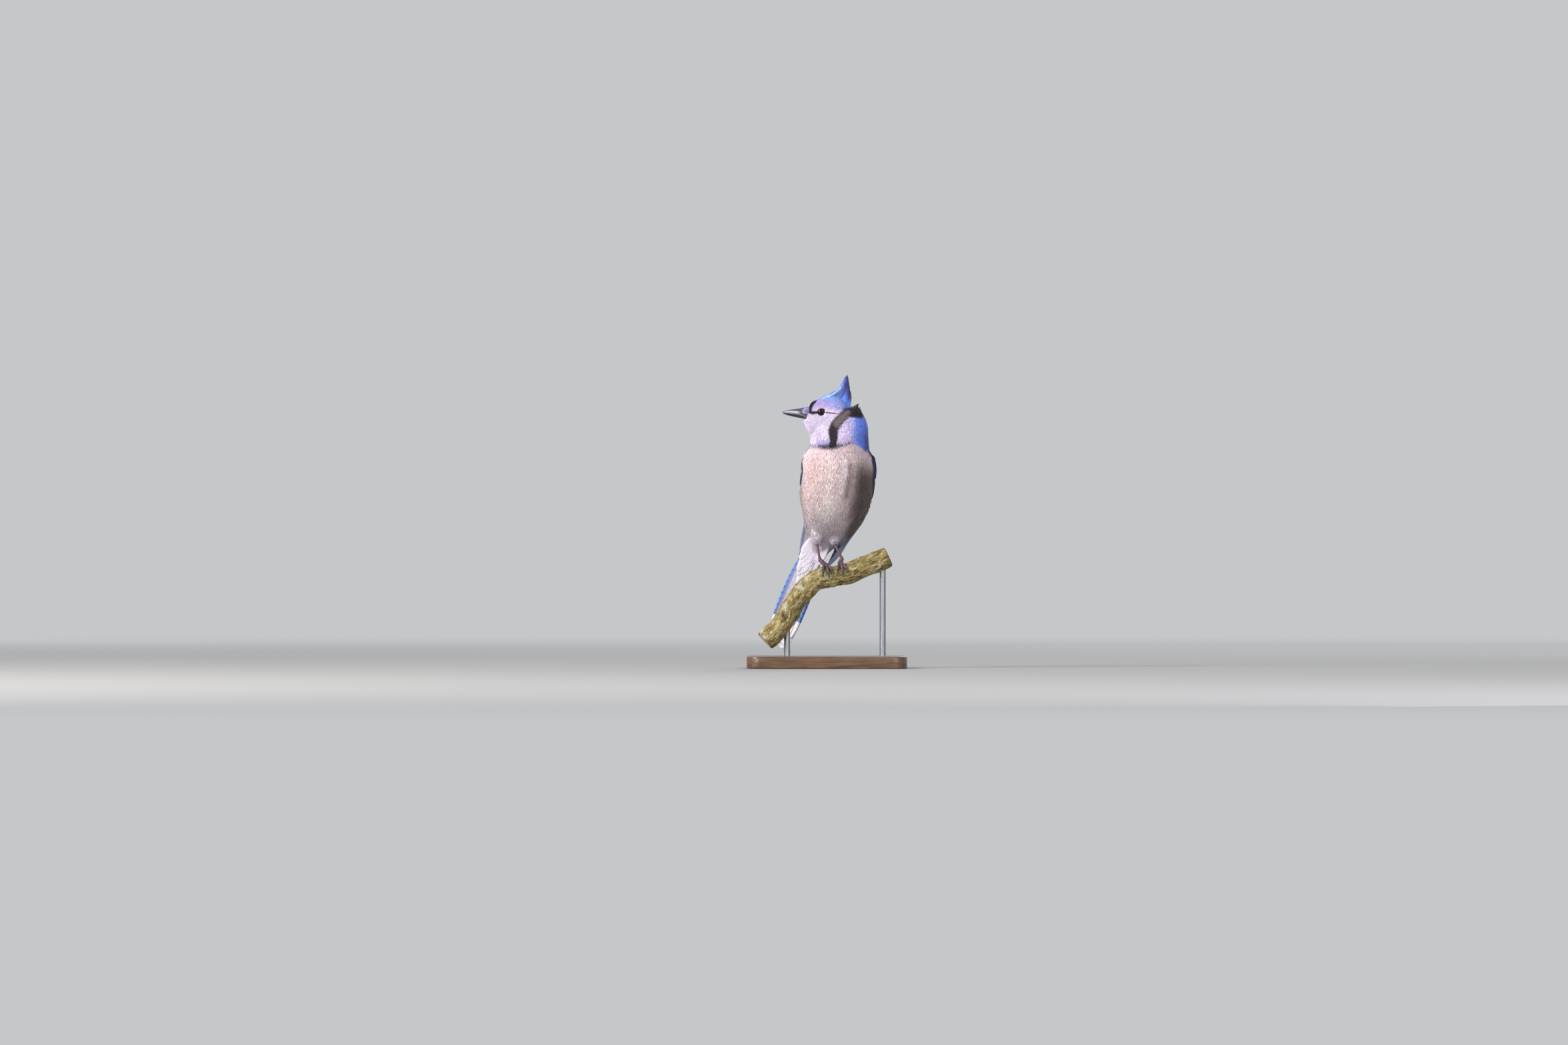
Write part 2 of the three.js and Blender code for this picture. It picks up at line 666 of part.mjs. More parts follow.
function wingVane(wing, { root, tip, rootAcross, tipAcross, rootLift, lift, width, shape, tilt }) {
  const atOf = (t) => mix(root, tip, t);
  const acrossOf = (t) => mix(rootAcross, tipAcross, t);
  const liftOf = (t) => mix(rootLift, lift, ease(Math.min(t * 2.4, 1)));
  const placeAt = (t, beside) => wingPoint(wing, atOf(t), acrossOf(t) + beside, liftOf(t));
  return vaneAlong({
    pointAt: (t) => placeAt(t, 0),
    acrossAt: (t) => placeAt(t, 1).sub(placeAt(t, -1)),
    width,
    shape,
    tilt: tilt * -wing.hand,
  });
}

function wingArm(wing) {
  const rings = ARM.map(({ at, from, to, lift }) => {
    const top = [];
    const under = [];
    for (let place = 0; place <= ARM_COLUMNS; place += 1) {
      const share = place / ARM_COLUMNS;
      const across = mix(from, to, share);
      const bulge = ARM_EDGE + lift * Math.sin(Math.PI * share) ** 0.45;
      top.push(wingPoint(wing, at, across, bulge));
      under.unshift(wingPoint(wing, at, across, -1));
    }
    return [...top, ...under];
  });
  return loft(rings);
}

function wingSolid(wing, bed) {
  const pieces = [wingArm(wing)];
  for (const tier of WING_TIERS) {
    for (let index = 0; index < tier.count; index += 1) {
      const across = tier.across + index * tier.step;
      pieces.push(
        wingVane(wing, {
          root: tier.root + index * tier.rootStep,
          tip: tier.tip + index * tier.tipStep + wobble() * 0.8,
          rootAcross: across,
          tipAcross: across,
          rootLift: tier.rootLift,
          lift: tier.lift,
          width: tier.width * (1 + wobble() * 0.03),
          shape: tier.shape,
          tilt: tier.tilt,
        }),
      );
    }
  }
  for (let index = 0; index < SCAPULARS.count; index += 1) {
    const root = SCAPULARS.root + index * SCAPULARS.rootStep;
    pieces.push(
      wingVane(wing, {
        root,
        tip: root + SCAPULARS.length,
        rootAcross: SCAPULARS.across,
        tipAcross: SCAPULARS.across + SCAPULARS.drift,
        rootLift: SCAPULARS.rootLift,
        lift: SCAPULARS.lift,
        width: SCAPULARS.width,
        shape: COVERT_SHAPE,
        tilt: SCAPULARS.tilt,
      }),
    );
  }
  return join(pieces).subtract(bed);
}

// Tail feathers, given down the body, to the side of its middle and up from the spine.
function tailVane({ root, tip, rootSide, tipSide, rootDepth, depth, width, shape }) {
  const sideOf = (t) => mix(rootSide, tipSide, Math.min(t * 2, 1));
  return vaneAlong({
    pointAt: (t) => bodyPoint(mix(root, tip, t), sideOf(t), mix(rootDepth, depth, t)),
    acrossAt: (t) => bodyFrame(mix(root, tip, t)).left,
    width,
    shape,
  });
}

function rectrices() {
  const { pairs, root, tip, pitch, topDepth, inner, weave, outer, outerStep } = RECTRICES;
  const { outerShorter, rootInner, rootOuter } = RECTRICES;
  const vanes = [];
  for (let pair = 0; pair < pairs; pair += 1) {
    const share = pair / (pairs - 1);
    for (const hand of [-1, 1]) {
      // The inner edges of the pairs pass the middle in turn, so that no straight seam is left.
      const seam = hand * (inner + (pair % 2 === 0 ? hand : -hand) * weave);
      const edge = hand * (outer + pair * outerStep);
      const middle = (seam + edge) / 2;
      vanes.push(
        tailVane({
          root,
          tip: tip - outerShorter * share ** 1.6 + wobble() * 0.5,
          rootSide: hand * mix(rootInner, rootOuter, share),
          tipSide: middle,
          rootDepth: (topDepth - pair * pitch) * 0.8,
          depth: topDepth - pair * pitch,
          width: Math.abs(edge - seam) - GAP,
          shape: TAIL_SHAPE,
        }),
      );
    }
  }
  return vanes;
}

function tailCovertRow({ at, tip, side, width, rootDepth, depth }) {
  return side.map((place) =>
    tailVane({
      root: at,
      tip: tip - Math.abs(place) * 0.7 + wobble(),
      rootSide: place * 0.9,
      tipSide: place,
      rootDepth,
      depth,
      width,
      shape: COVERT_SHAPE,
    }),
  );
}

function tailSolid() {
  const { point, down } = bodyFrame(TAIL_ROOT);
  const stem = loft(bodyRings(TAIL_STEM, TAIL_STEM[0].at, TAIL_STEM.at(-1).at, 6, TAIL_STEM_SIDES, 0));
  const coverts = [...UPPER_TAIL_COVERTS, ...UNDER_TAIL_COVERTS].flatMap(tailCovertRow);
  return keepAbove(join([stem, ...rectrices(), ...coverts]), down, point, GAP / 2);
}

// Perch and what grips it.
function perchFrame(at) {
  const share = at / PERCH_LENGTH;
  const point = PERCH.getPointAt(share);
  const along = PERCH.getTangentAt(share);
  const up = vec(0, 0, 1).addScaledVector(along, -along.z).normalize();
  const front = vec(0, 0, 0).crossVectors(up, along).negate();
  return { point, along, up, front };
}

function barkRadius(at, angle) {
  const ripple = Math.sin(at * 0.23 + angle * 2) + Math.sin(at * 0.11 - angle * 3);
  let radius = PERCH_RADIUS + BARK_DEPTH * ripple;
  for (const knot of PERCH_KNOTS) {
    const turn = Math.abs(Math.atan2(Math.sin(angle - knot.angle), Math.cos(angle - knot.angle)));
    const away = Math.hypot(at - knot.at, turn * PERCH_RADIUS) / knot.reach;
    radius += knot.size * Math.exp(-(away ** 2) * 2);
  }
  return radius;
}

// A place near the perch: along it, round it from the top towards the front, and out from its axis.
function perchPoint(at, angle, distance) {
  const { point, up, front } = perchFrame(at);
  point.addScaledVector(up, Math.cos(angle) * distance);
  return point.addScaledVector(front, Math.sin(angle) * distance);
}

function perchSolid(grow) {
  return loft(
    Array.from({ length: PERCH_STEPS + 1 }, (_, step) => {
      const at = (step / PERCH_STEPS) * PERCH_LENGTH;
      return Array.from({ length: PERCH_SIDES }, (_unused, side) => {
        const angle = (side / PERCH_SIDES) * 2 * Math.PI;
        return perchPoint(at, angle, barkRadius(at, angle) + grow);
      });
    }),
  );
}

function toePath(leg, toe, from, to, extra) {
  const pointAt = (t) => {
    const share = mix(from, to, t);
    const angle = toe.reach * share;
    const at = leg.perchAt + toe.along * Math.min(share, 1.2) ** 0.8;
    return perchPoint(at, angle, PERCH_RADIUS + BARK_DEPTH + GAP + extra(share));
  };
  return new THREE.CatmullRomCurve3(Array.from({ length: 9 }, (_, step) => pointAt(step / 8)));
}

function toeSolid(leg, toe) {
  const path = toePath(leg, toe, 0.02, 1, () => toe.radius * 0.95);
  // Pads swell between the joints and the toe narrows to the claw.
  const radiusAt = (t) => toe.radius * mix(1.15, 0.82, t) * (1 + 0.13 * Math.cos(t * 3 * 2 * Math.PI));
  return tube(path, radiusAt, TOE_SIDES, TOE_STEPS);
}

function clawSolid(leg, toe) {
  const arc = PERCH_RADIUS + GAP + toe.radius;
  const start = 1 + CLAW.setback / (arc * Math.abs(toe.reach));
  const end = 1 + toe.claw / toe.reach;
  const lift = (share) => {
    const t = (share - start) / (end - start);
    return toe.radius * 0.9 + CLAW.arch * Math.sin(Math.PI * t) - t * toe.radius * 0.6;
  };
  const path = toePath(leg, toe, start, end, lift);
  return tube(path, (t) => CLAW.radius * (1 - 0.86 * t ** 1.15), CLAW.sides, CLAW.steps);
}

function footTop(leg) {
  return leg.ankle.clone().sub(leg.foot).normalize();
}

function footSolid(leg, perch) {
  const palmCentre = perchPoint(leg.perchAt, 0, PERCH_RADIUS + BARK_DEPTH + GAP + PALM.height);
  const palm = ball(PALM.radius, palmCentre);
  const shin = tube(new THREE.LineCurve3(palmCentre, leg.foot), () => TARSUS.footRadius, LEG_SIDES, 1);
  const cut = keepAbove(join([palm, shin]), footTop(leg).negate(), leg.foot, GAP / 2);
  return join([cut, ...TOES.map((toe) => toeSolid(leg, toe))]).subtract(perch);
}

function tarsusSolid(leg, bed) {
  const path = new THREE.LineCurve3(leg.ankle, leg.foot);
  const radiusAt = (t) => {
    const shaft = mix(TARSUS.ankleRadius, TARSUS.shaftRadius, ease(Math.min(t * 4, 1)));
    return mix(shaft, TARSUS.footRadius, ease(Math.max(t * 5 - 4, 0)));
  };
  const whole = tube(path, radiusAt, LEG_SIDES, 10);
  const belowAnkle = keepAbove(whole, footTop(leg).negate(), leg.ankle, GAP / 2);
  return keepAbove(belowAnkle, footTop(leg), leg.foot, GAP / 2).subtract(bed);
}

function thighSolid(leg, bed) {
  const bend = leg.hip.clone().lerp(leg.ankle, 0.55).add(vec(0, THIGH.forward, 0));
  const end = leg.ankle.clone().addScaledVector(footTop(leg), -1);
  const path = new THREE.CatmullRomCurve3([leg.hip, bend, end]);
  const { hipRadius, midRadius, ankleRadius } = THIGH;
  const lower = (t) => mix(midRadius, ankleRadius, t * 2 - 1);
  const radiusAt = (t) => (t < 0.5 ? mix(hipRadius, midRadius, t * 2) : lower(t));
  const whole = tube(path, radiusAt, THIGH.sides, THIGH.steps);
  return keepAbove(whole, footTop(leg), leg.ankle, GAP / 2).subtract(bed);
}

// Stand.
function standBase() {
  const { width, depth, height, corner, bevel } = BASE;
  const [x, y] = [width / 2 - bevel, depth / 2 - bevel];
  const outline = new THREE.Shape();
  outline.moveTo(-x + corner, -y);
  outline.lineTo(x - corner, -y);
  outline.absarc(x - corner, -y + corner, corner, -Math.PI / 2, 0);
  outline.lineTo(x, y - corner);
  outline.absarc(x - corner, y - corner, corner, 0, Math.PI / 2);
  outline.lineTo(-x + corner, y);
  outline.absarc(-x + corner, y - corner, corner, Math.PI / 2, Math.PI);
  outline.lineTo(-x, -y + corner);
  outline.absarc(-x + corner, -y + corner, corner, Math.PI, Math.PI * 1.5);
  const geometry = new THREE.ExtrudeGeometry(outline, {
    depth: height - 2 * bevel,
    bevelThickness: bevel,
    bevelSize: bevel,
    bevelSegments: 1,
    curveSegments: 5,
  });
  return solidOf(geometry.translate(0, 0, bevel));
}

function rodSolid(perchAt, perch) {
  const { point } = perchFrame(perchAt);
  const foot = BASE.height + GAP;
  const geometry = new THREE.CylinderGeometry(ROD_RADIUS, ROD_RADIUS, point.z - foot, ROD_SIDES);
  geometry.rotateX(Math.PI / 2);
  geometry.translate(point.x, point.y, (point.z + foot) / 2);
  return solidOf(geometry).subtract(perch);
}

function material(color, roughness, metalness = 0) {
  return new THREE.MeshStandardMaterial({ color, roughness, metalness, flatShading: true });
}

const FINISH = {
  crown: material(0x7f90dc, 0.75),
  neck: material(0x3c3440, 0.8),
  breast: material(0xc6b3ad, 0.85),
  wing: material(0x4f68c8, 0.6),
  tail: material(0xb9b6dc, 0.65),
  thigh: material(0xdcd6e2, 0.85),
  bill: material(0x34353f, 0.4),
  eye: material(0x2a1418, 0.08),
  leg: material(0x4a3d42, 0.6),
  claw: material(0x2c2629, 0.45),
  bark: material(0x9c8f55, 0.9),
  base: material(0x5a4632, 0.55),
  rod: material(0x8a8c90, 0.35, 1),
};

const group = new THREE.Group();

// Adds a solid as a node, keeping its largest closed surface.
function addNode(name, solid, finish) {
  const pieces = solid.decompose();
  const largest = pieces.reduce((best, piece) => (piece.volume() > best.volume() ? piece : best));
  const { vertProperties, triVerts } = largest.getMesh();
  const geometry = new THREE.BufferGeometry();
  geometry.setAttribute("position", new THREE.BufferAttribute(vertProperties, 3));
  geometry.setIndex(new THREE.BufferAttribute(triVerts, 1));
  geometry.computeVertexNormals();
  const mesh = new THREE.Mesh(geometry, finish.clone());
  mesh.name = name;
  group.add(mesh);
}

// Head, neck and torso are one form, parted by thin cuts.
const bed = trunk(GAP);
const body = trunk(0).add(headCore(0));
const neckFoot = bodyFrame(NECK_FOOT);
const tailRoot = bodyFrame(TAIL_ROOT);

const eyeLids = [lids(-1), lids(1)];
let head = keepAbove(body, HEAD_FOOT.up, HEAD_FOOT.point, GAP / 2);
for (const lid of eyeLids) head = head.add(lid.shell);
head = join([head, ...crestVanes(), ...nasalVanes(), ...napeVanes()]);
for (const hand of [-1, 1]) head = head.subtract(ball(EYE.radius + GAP, eyeCentre(hand)));
for (const lid of eyeLids) head = head.subtract(lid.opening);
head = head.subtract(billHalf(true, GAP)).subtract(billHalf(false, GAP));
addNode("head", head, FINISH.crown);

for (const [name, hand] of [["eye_left", -1], ["eye_right", 1]]) {
  addNode(name, ball(EYE.radius, eyeCentre(hand)), FINISH.eye);
}

const neck = keepAbove(
  keepAbove(body, HEAD_FOOT.up.clone().negate(), HEAD_FOOT.point, GAP / 2),
  neckFoot.down.clone().negate(),
  neckFoot.point,
  GAP / 2,
);
addNode("neck", neck, FINISH.neck);

const torso = keepAbove(
  keepAbove(body, neckFoot.down, neckFoot.point, GAP / 2),
  tailRoot.down.clone().negate(),
  tailRoot.point,
  GAP / 2,
);
addNode("torso", torso, FINISH.breast);

let upperBill = billHalf(true, 0);
for (const hand of [-1, 1]) {
  const pit = new THREE.SphereGeometry(1, 10, 8);
  pit.scale(NOSTRIL.length, NOSTRIL.height, NOSTRIL.height);
  pit.translate(NOSTRIL.x, HEAD_Y + hand * NOSTRIL.fromMiddle, NOSTRIL.z);
  upperBill = upperBill.subtract(solidOf(pit));
}
addNode("bill_upper", upperBill, FINISH.bill);
addNode("bill_lower", billHalf(false, 0), FINISH.bill);

for (const [side, wing] of Object.entries(WINGS)) {
  addNode(`wing_${side}`, wingSolid(wing, bed), FINISH.wing);
}
addNode("tail", tailSolid(), FINISH.tail);

const bark = perchSolid(GAP);
for (const [side, leg] of Object.entries(LEGS)) {
  addNode(`thigh_${side}`, thighSolid(leg, bed), FINISH.thigh);
  addNode(`tarsus_${side}`, tarsusSolid(leg, bed), FINISH.leg);
  addNode(`foot_${side}`, footSolid(leg, bark), FINISH.leg);
  for (const toe of TOES) {
    addNode(`claw_${side}_${toe.name}`, clawSolid(leg, toe).subtract(bark), FINISH.claw);
  }
}

addNode("perch_branch", perchSolid(0), FINISH.bark);
addNode("stand_base", standBase(), FINISH.base);
for (const [name, perchAt] of Object.entries(RODS)) {
  addNode(name, rodSolid(perchAt, bark), FINISH.rod);
}

export default group;
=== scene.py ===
"""A life-size blue jay on a cut branch: skin, plumage, flight feathers, bill, eyes, legs, perch and stand.

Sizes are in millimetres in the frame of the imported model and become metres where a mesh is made. The
body's axis runs from inside the head to the tip of the tail, and places on the bird are given along it.
"""

import logging
import math
from collections.abc import Callable, Iterable
from dataclasses import dataclass, field
from enum import Enum

import bmesh
import bpy
import numpy as np
from mathutils import Matrix, Vector, noise
from mathutils.bvhtree import BVHTree
from mathutils.kdtree import KDTree


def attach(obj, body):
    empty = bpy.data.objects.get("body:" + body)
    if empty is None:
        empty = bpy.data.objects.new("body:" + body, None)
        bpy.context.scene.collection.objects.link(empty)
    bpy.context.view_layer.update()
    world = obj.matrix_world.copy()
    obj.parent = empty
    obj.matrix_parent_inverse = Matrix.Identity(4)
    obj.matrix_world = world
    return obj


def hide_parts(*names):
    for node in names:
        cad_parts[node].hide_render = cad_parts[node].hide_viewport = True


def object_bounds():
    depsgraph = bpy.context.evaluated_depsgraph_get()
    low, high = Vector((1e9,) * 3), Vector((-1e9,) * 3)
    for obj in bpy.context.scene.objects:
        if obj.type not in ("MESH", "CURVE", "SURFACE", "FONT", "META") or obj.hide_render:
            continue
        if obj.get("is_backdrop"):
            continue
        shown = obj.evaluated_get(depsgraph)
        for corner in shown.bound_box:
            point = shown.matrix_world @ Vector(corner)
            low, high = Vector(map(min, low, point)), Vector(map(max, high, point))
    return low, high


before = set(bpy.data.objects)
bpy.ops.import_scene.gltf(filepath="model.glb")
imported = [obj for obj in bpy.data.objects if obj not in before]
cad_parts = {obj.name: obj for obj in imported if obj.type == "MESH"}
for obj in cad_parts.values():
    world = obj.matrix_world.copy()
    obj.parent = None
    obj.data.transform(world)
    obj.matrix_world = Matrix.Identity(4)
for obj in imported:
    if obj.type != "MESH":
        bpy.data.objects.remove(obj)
CAD_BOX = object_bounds()

log = logging.getLogger("blue_jay")

Array = np.ndarray
Object = bpy.types.Object
Socket = bpy.types.NodeSocket

MM = 0.001
FULL_TURN = 2 * math.pi
WELD = 2e-6
SEED = 4207
BODY = "root"
# Side of a tuft's patch in the bake map.
PATCH_SIDE = 0.003
# Units of a firm vane's map and marks: a decimetre, the longest white tip and the widest pitch of its bars.
VANE_MAP = 100.0
MOST_WHITE = 25.0
MOST_PITCH = 10.0
# Feathers longer than this are flight feathers.
LONG_VANE = 40.0

# Axis of the body, from inside the head, down the trunk, to the tip of the tail.
SPINE_POINTS = (
    (9, -18, 256), (11.5, -17, 236), (12.4, -15, 220), (11.6, -11, 200), (9.4, -3.5, 177), (5, 8, 152),
    (-4, 20, 130), (-15.8, 29.5, 107), (-28, 39.5, 75), (-38.6, 48.5, 48), (-48.5, 56.5, 19),
)
BODY_YAW = math.radians(6)

# Trunk sections: distance along the axis, half width, depth to the breast and to the back.
TRUNK = (
    (2, 14, 11, 11), (8, 22.5, 15.5, 15.5), (16, 27.2, 19, 18.5), (24, 29, 22, 21), (32, 28.4, 25, 23.5),
    (39, 28.8, 27.5, 25), (47, 30, 30, 26), (58, 32.6, 32.3, 26.4), (70, 33.6, 33.6, 26),
    (83, 33.8, 33.6, 25), (94, 32.8, 32.2, 23.6), (106, 30.2, 28.6, 21.4), (117, 26.6, 22.6, 18.6),
    (127, 22.2, 16, 15.4), (136, 17.8, 10.4, 11.8), (144, 14.6, 8, 8.4), (152, 13, 6.6, 5.6),
    (160, 12, 4.6, 3.6), (167, 10.4, 3, 2.2),
)

# Head sections: place along the bill's direction, crown height, throat height and half width.
HEAD_Y = -18.0
HEAD = (
    (-22.4, 242.3, 239.8, 2), (-20.6, 242.9, 236, 5.4), (-18.8, 247, 232.4, 7.8), (-17.4, 256.4, 229, 9.2),
    (-13.5, 260.4, 226, 11.2), (-7, 262.8, 227.5, 13), (0, 265, 227, 14.4), (7, 266, 227.5, 15),
    (13, 263.6, 229, 14.8), (19, 257.6, 231, 13.8), (25, 253.6, 234, 12), (30, 251.4, 237, 9),
    (33.4, 248.4, 241, 4.6),
)

# Bed that a folded wing lies on: distance along the axis, half width and depth to the back.
WING_BED = (
    (39, 28.8, 25), (47, 30, 26), (58, 32.6, 26.4), (70, 33.6, 26), (83, 33.8, 25), (94, 32.8, 23.6),
    (106, 30.4, 23), (117, 27.8, 21.4), (127, 25.4, 20), (136, 23.6, 18.6), (148, 22.6, 16.6),
    (158, 20.4, 15), (170, 17.6, 13.4),
)


class Hand(Enum):
    """Side of the bird's body, as the sign of its own left."""

    LEFT = 1
    RIGHT = -1

    @property
    def word(self) -> str:
        """The side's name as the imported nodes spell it."""
        return self.name.lower()


def unit(vectors: Array) -> Array:
    """Vectors along the last axis, each scaled to a length of one."""
    return vectors / np.maximum(np.linalg.norm(vectors, axis=-1, keepdims=True), 1e-9)


def ease(share: Array) -> Array:
    """A smooth step from 0 to 1 as the share goes from 0 to 1."""
    share = np.clip(share, 0.0, 1.0)
    return share * share * (3.0 - 2.0 * share)


def mix(low: Array, high: Array, share: Array) -> Array:
    """The value a share of the way from low to high."""
    return low + (high - low) * share


def sections(rows: tuple, at: Array) -> Array:
    """Smooth values between the rows of a table of sections.

    Args:
        rows: Rows of one distance and the values there.
        at: Distances to read the table at.

    Returns:
        The values at each distance, along a new last axis.
    """
    table = np.asarray(rows, float)
    place, value = table[:, 0], table[:, 1:]
    slope = np.empty_like(value)
    slope[1:-1] = (value[2:] - value[:-2]) / (place[2:] - place[:-2])[:, None]
    slope[0] = (value[1] - value[0]) / (place[1] - place[0])
    slope[-1] = (value[-1] - value[-2]) / (place[-1] - place[-2])
    inside = np.clip(np.asarray(at, float), place[0], place[-1])
    row = np.clip(np.searchsorted(place, inside, side="right") - 1, 0, len(place) - 2)
    span = (place[row + 1] - place[row])[..., None]
    share = (inside - place[row])[..., None] / span
    rise = value[row + 1] - value[row]
    leave, arrive = slope[row] * span, slope[row + 1] * span
    bend = 3 * rise - 2 * leave - arrive + share * (leave + arrive - 2 * rise)
    return value[row] + share * (leave + share * bend)


def read(rows: tuple, at: Array) -> Array:
    """Values on the straight lines between rows of a place and a value."""
    return np.interp(at, *zip(*rows))


class BentLine:
    """A smooth line through a few points, read by the distance along it."""

    def __init__(self, points: Iterable[tuple], steps: int = 160) -> None:
        """Samples a centripetal Catmull-Rom curve.

        Args:
            points: The points that the line passes through.
            steps: Samples between two points.
        """
        knots = np.asarray(list(points), float)
        ends = 2 * knots[[0, -1]] - knots[[1, -2]]
        knots = np.vstack([ends[:1], knots, ends[1:]])
        share = np.linspace(0, 1, steps, endpoint=False)[:, None]
        runs = [self._run(knots[start : start + 4], share) for start in range(len(knots) - 3)]
        self.samples = np.vstack([*runs, knots[-2:-1]])
        gaps = np.linalg.norm(np.diff(self.samples, axis=0), axis=1)
        self.at = np.concatenate([[0.0], np.cumsum(gaps)])
        self.length = float(self.at[-1])

    @staticmethod
    def _run(four: Array, share: Array) -> Array:
        """Points of the curve between the middle two of four knots."""
        before, middle, after = np.sqrt(np.linalg.norm(np.diff(four, axis=0), axis=1))
        first, second, third, fourth = four
        leave = (second - first) / before - (third - first) / (before + middle) + (third - second) / middle
        arrive = (third - second) / middle - (fourth - second) / (middle + after) + (fourth - third) / after
        leave, arrive = leave * middle, arrive * middle
        bend = -3 * second + 3 * third - 2 * leave - arrive
        twist = 2 * second - 2 * third + leave + arrive
        return second + share * (leave + share * (bend + share * twist))

    def _inside(self, at: Array) -> Array:
        """Points at distances that are held within the line."""
        return np.stack([np.interp(at, self.at, self.samples[:, axis]) for axis in range(3)], axis=-1)

    def tangent(self, at: Array) -> Array:
        """Directions of the line at distances along it."""
        inside = np.clip(at, 0.6, self.length - 0.6)
        return unit(self._inside(inside + 0.6) - self._inside(inside - 0.6))

    def point(self, at: Array) -> Array:
        """Points at distances along the line, carried on straight past its ends."""
        at = np.asarray(at, float)
        inside = np.clip(at, 0, self.length)
        return self._inside(inside) + (at - inside)[..., None] * self.tangent(inside)


SPINE = BentLine(SPINE_POINTS)
BODY_LEFT = np.array([math.cos(BODY_YAW), -math.sin(BODY_YAW), 0.0])


def body_frame(at: Array) -> tuple[Array, Array, Array, Array]:
    """The axis point and the down, left and back directions at distances along the body."""
    down = SPINE.tangent(at)
    left = unit(BODY_LEFT - (down @ BODY_LEFT)[..., None] * down)
    return SPINE.point(at), down, left, np.cross(left, down)


def body_point(at: Array, side: Array, depth: Array) -> Array:
    """Points given along the body, to its left, and out to its back."""
    point, _, left, back = body_frame(at)
    return point + left * np.asarray(side)[..., None] + back * np.asarray(depth)[..., None]


def trunk_point(at: Array, angle: Array, grow: Array) -> Array:
    """Points of the trunk, with the angle counted from its left side towards the back."""
    side, front, back = np.moveaxis(sections(TRUNK, at), -1, 0)
    depth = np.where(np.sin(angle) > 0, back, front) + grow
    return body_point(at, np.cos(angle) * (side + grow), np.sin(angle) * depth)


def head_point(at: Array, angle: Array, grow: float) -> Array:
    """Points of the head, with the angle counted from its +Y side towards the crown."""
    top, bottom, half = np.moveaxis(sections(HEAD, at), -1, 0)
    height = (top - bottom) / 2 + grow
    return np.stack(
        [at, HEAD_Y + np.cos(angle) * (half + grow), (top + bottom) / 2 + np.sin(angle) * height], axis=-1
    )


@dataclass
class BodyPlaces:
    """Where points lie on the body: distance along its axis and angle round it from the left to the back."""

    at: Array
    angle: Array
    front: Array

    @classmethod
    def of(cls, points: Array) -> "BodyPlaces":
        """Finds the places of points given in millimetres."""
        grid = np.linspace(0, SPINE.length, 420)
        axis = SPINE.point(grid)
        nearest = np.concatenate(
            [
                grid[np.argmin(((chunk[:, None] - axis[None]) ** 2).sum(-1), axis=1)]
                for chunk in np.array_split(points, max(1, len(points) // 4000))
            ]
        )
        middle, _, left, back = body_frame(nearest)
        out = points - middle
        side, depth = (out * left).sum(-1), (out * back).sum(-1)
        return cls(nearest, np.arctan2(depth, side), -depth / np.maximum(np.hypot(side, depth), 1e-6))


def bent_grid(
    name: str, across: int, along: int, place: Callable[[Array, Array], Array]
) -> Object:
    """Makes a closed form by bending a flat grid round into a tube and closing its ends.

    Args:
        name: The object's name.
        across: Faces round the tube.
        along: Faces along the tube.
        place: Gives points in millimetres for the shares round and along the tube.

    Returns:
        The object, with the two shares kept in its UV map "Vane".
    """
    form = bmesh.new()
    bmesh.ops.create_grid(form, x_segments=across, y_segments=along, size=1.0)
    shares = (np.array([vert.co for vert in form.verts])[:, :2] + 1) / 2
    shares_map = form.loops.layers.uv.new("Vane")
    for face in form.faces:
        for loop in face.loops:
            loop[shares_map].uv = shares[loop.vert.index]
    for vert, point in zip(form.verts, place(shares[:, 0], shares[:, 1]) * MM):
        vert.co = point
    bmesh.ops.remove_doubles(form, verts=form.verts, dist=WELD)
    bmesh.ops.holes_fill(form, edges=[edge for edge in form.edges if edge.is_boundary])
    bmesh.ops.recalc_face_normals(form, faces=form.faces)
    return finished(name, form)


def tube(
    name: str,
    line: BentLine,
    radius: Callable[[Array, Array], Array],
    across: int,
    along: int,
    aside: tuple[float, float, float] = (0.0, 1.0, 0.12),
) -> Object:
    """Makes a closed tube round a bent line.

    Args:
        name: The object's name.
        line: The tube's middle line.
        radius: Gives the radius for the shares along the line and the angles round it.
        across: Faces round the tube.
        along: Faces along the tube.
        aside: A direction that the angles are counted square to.

    Returns:
        The object.
    """

    def place(turn: Array, share: Array) -> Array:
        """Points round the tube."""
        at = share * line.length
        run = line.tangent(at)
        side = unit(np.cross(run, aside))
        angle = turn * FULL_TURN
        out = side * np.cos(angle)[:, None] + np.cross(run, side) * np.sin(angle)[:, None]
        return line.point(at) + out * radius(share, angle)[:, None]

    return bent_grid(name, across, along, place)


def ball(
    middle: Array,
    radius: float,
    faces: tuple[int, int],
    scale: tuple = (1.0, 1.0, 1.0),
    turn: float = 0.0,
) -> bmesh.types.BMesh:
    """A ball in millimetres, with its faces round and up, its scale, and its turn about X before that."""
    form = bmesh.new()
    bmesh.ops.create_uvsphere(form, u_segments=faces[0], v_segments=faces[1], radius=radius * MM)
    bmesh.ops.rotate(form, verts=form.verts, cent=(0, 0, 0), matrix=Matrix.Rotation(turn, 3, "X"))
    bmesh.ops.scale(form, verts=form.verts, vec=Vector(scale))
    bmesh.ops.translate(form, verts=form.verts, vec=Vector(middle) * MM)
    return form


def finished(name: str, form: bmesh.types.BMesh, smooth: bool = True) -> Object:
    """Turns a bmesh into an object at the origin and frees it."""
    for face in form.faces:
        face.smooth = smooth
    mesh = bpy.data.meshes.new(name)
    form.to_mesh(mesh)
    form.free()
    return linked(bpy.data.objects.new(name, mesh))


def linked(thing: Object) -> Object:
    """Puts an object into the scene."""
    bpy.context.scene.collection.objects.link(thing)
    return thing


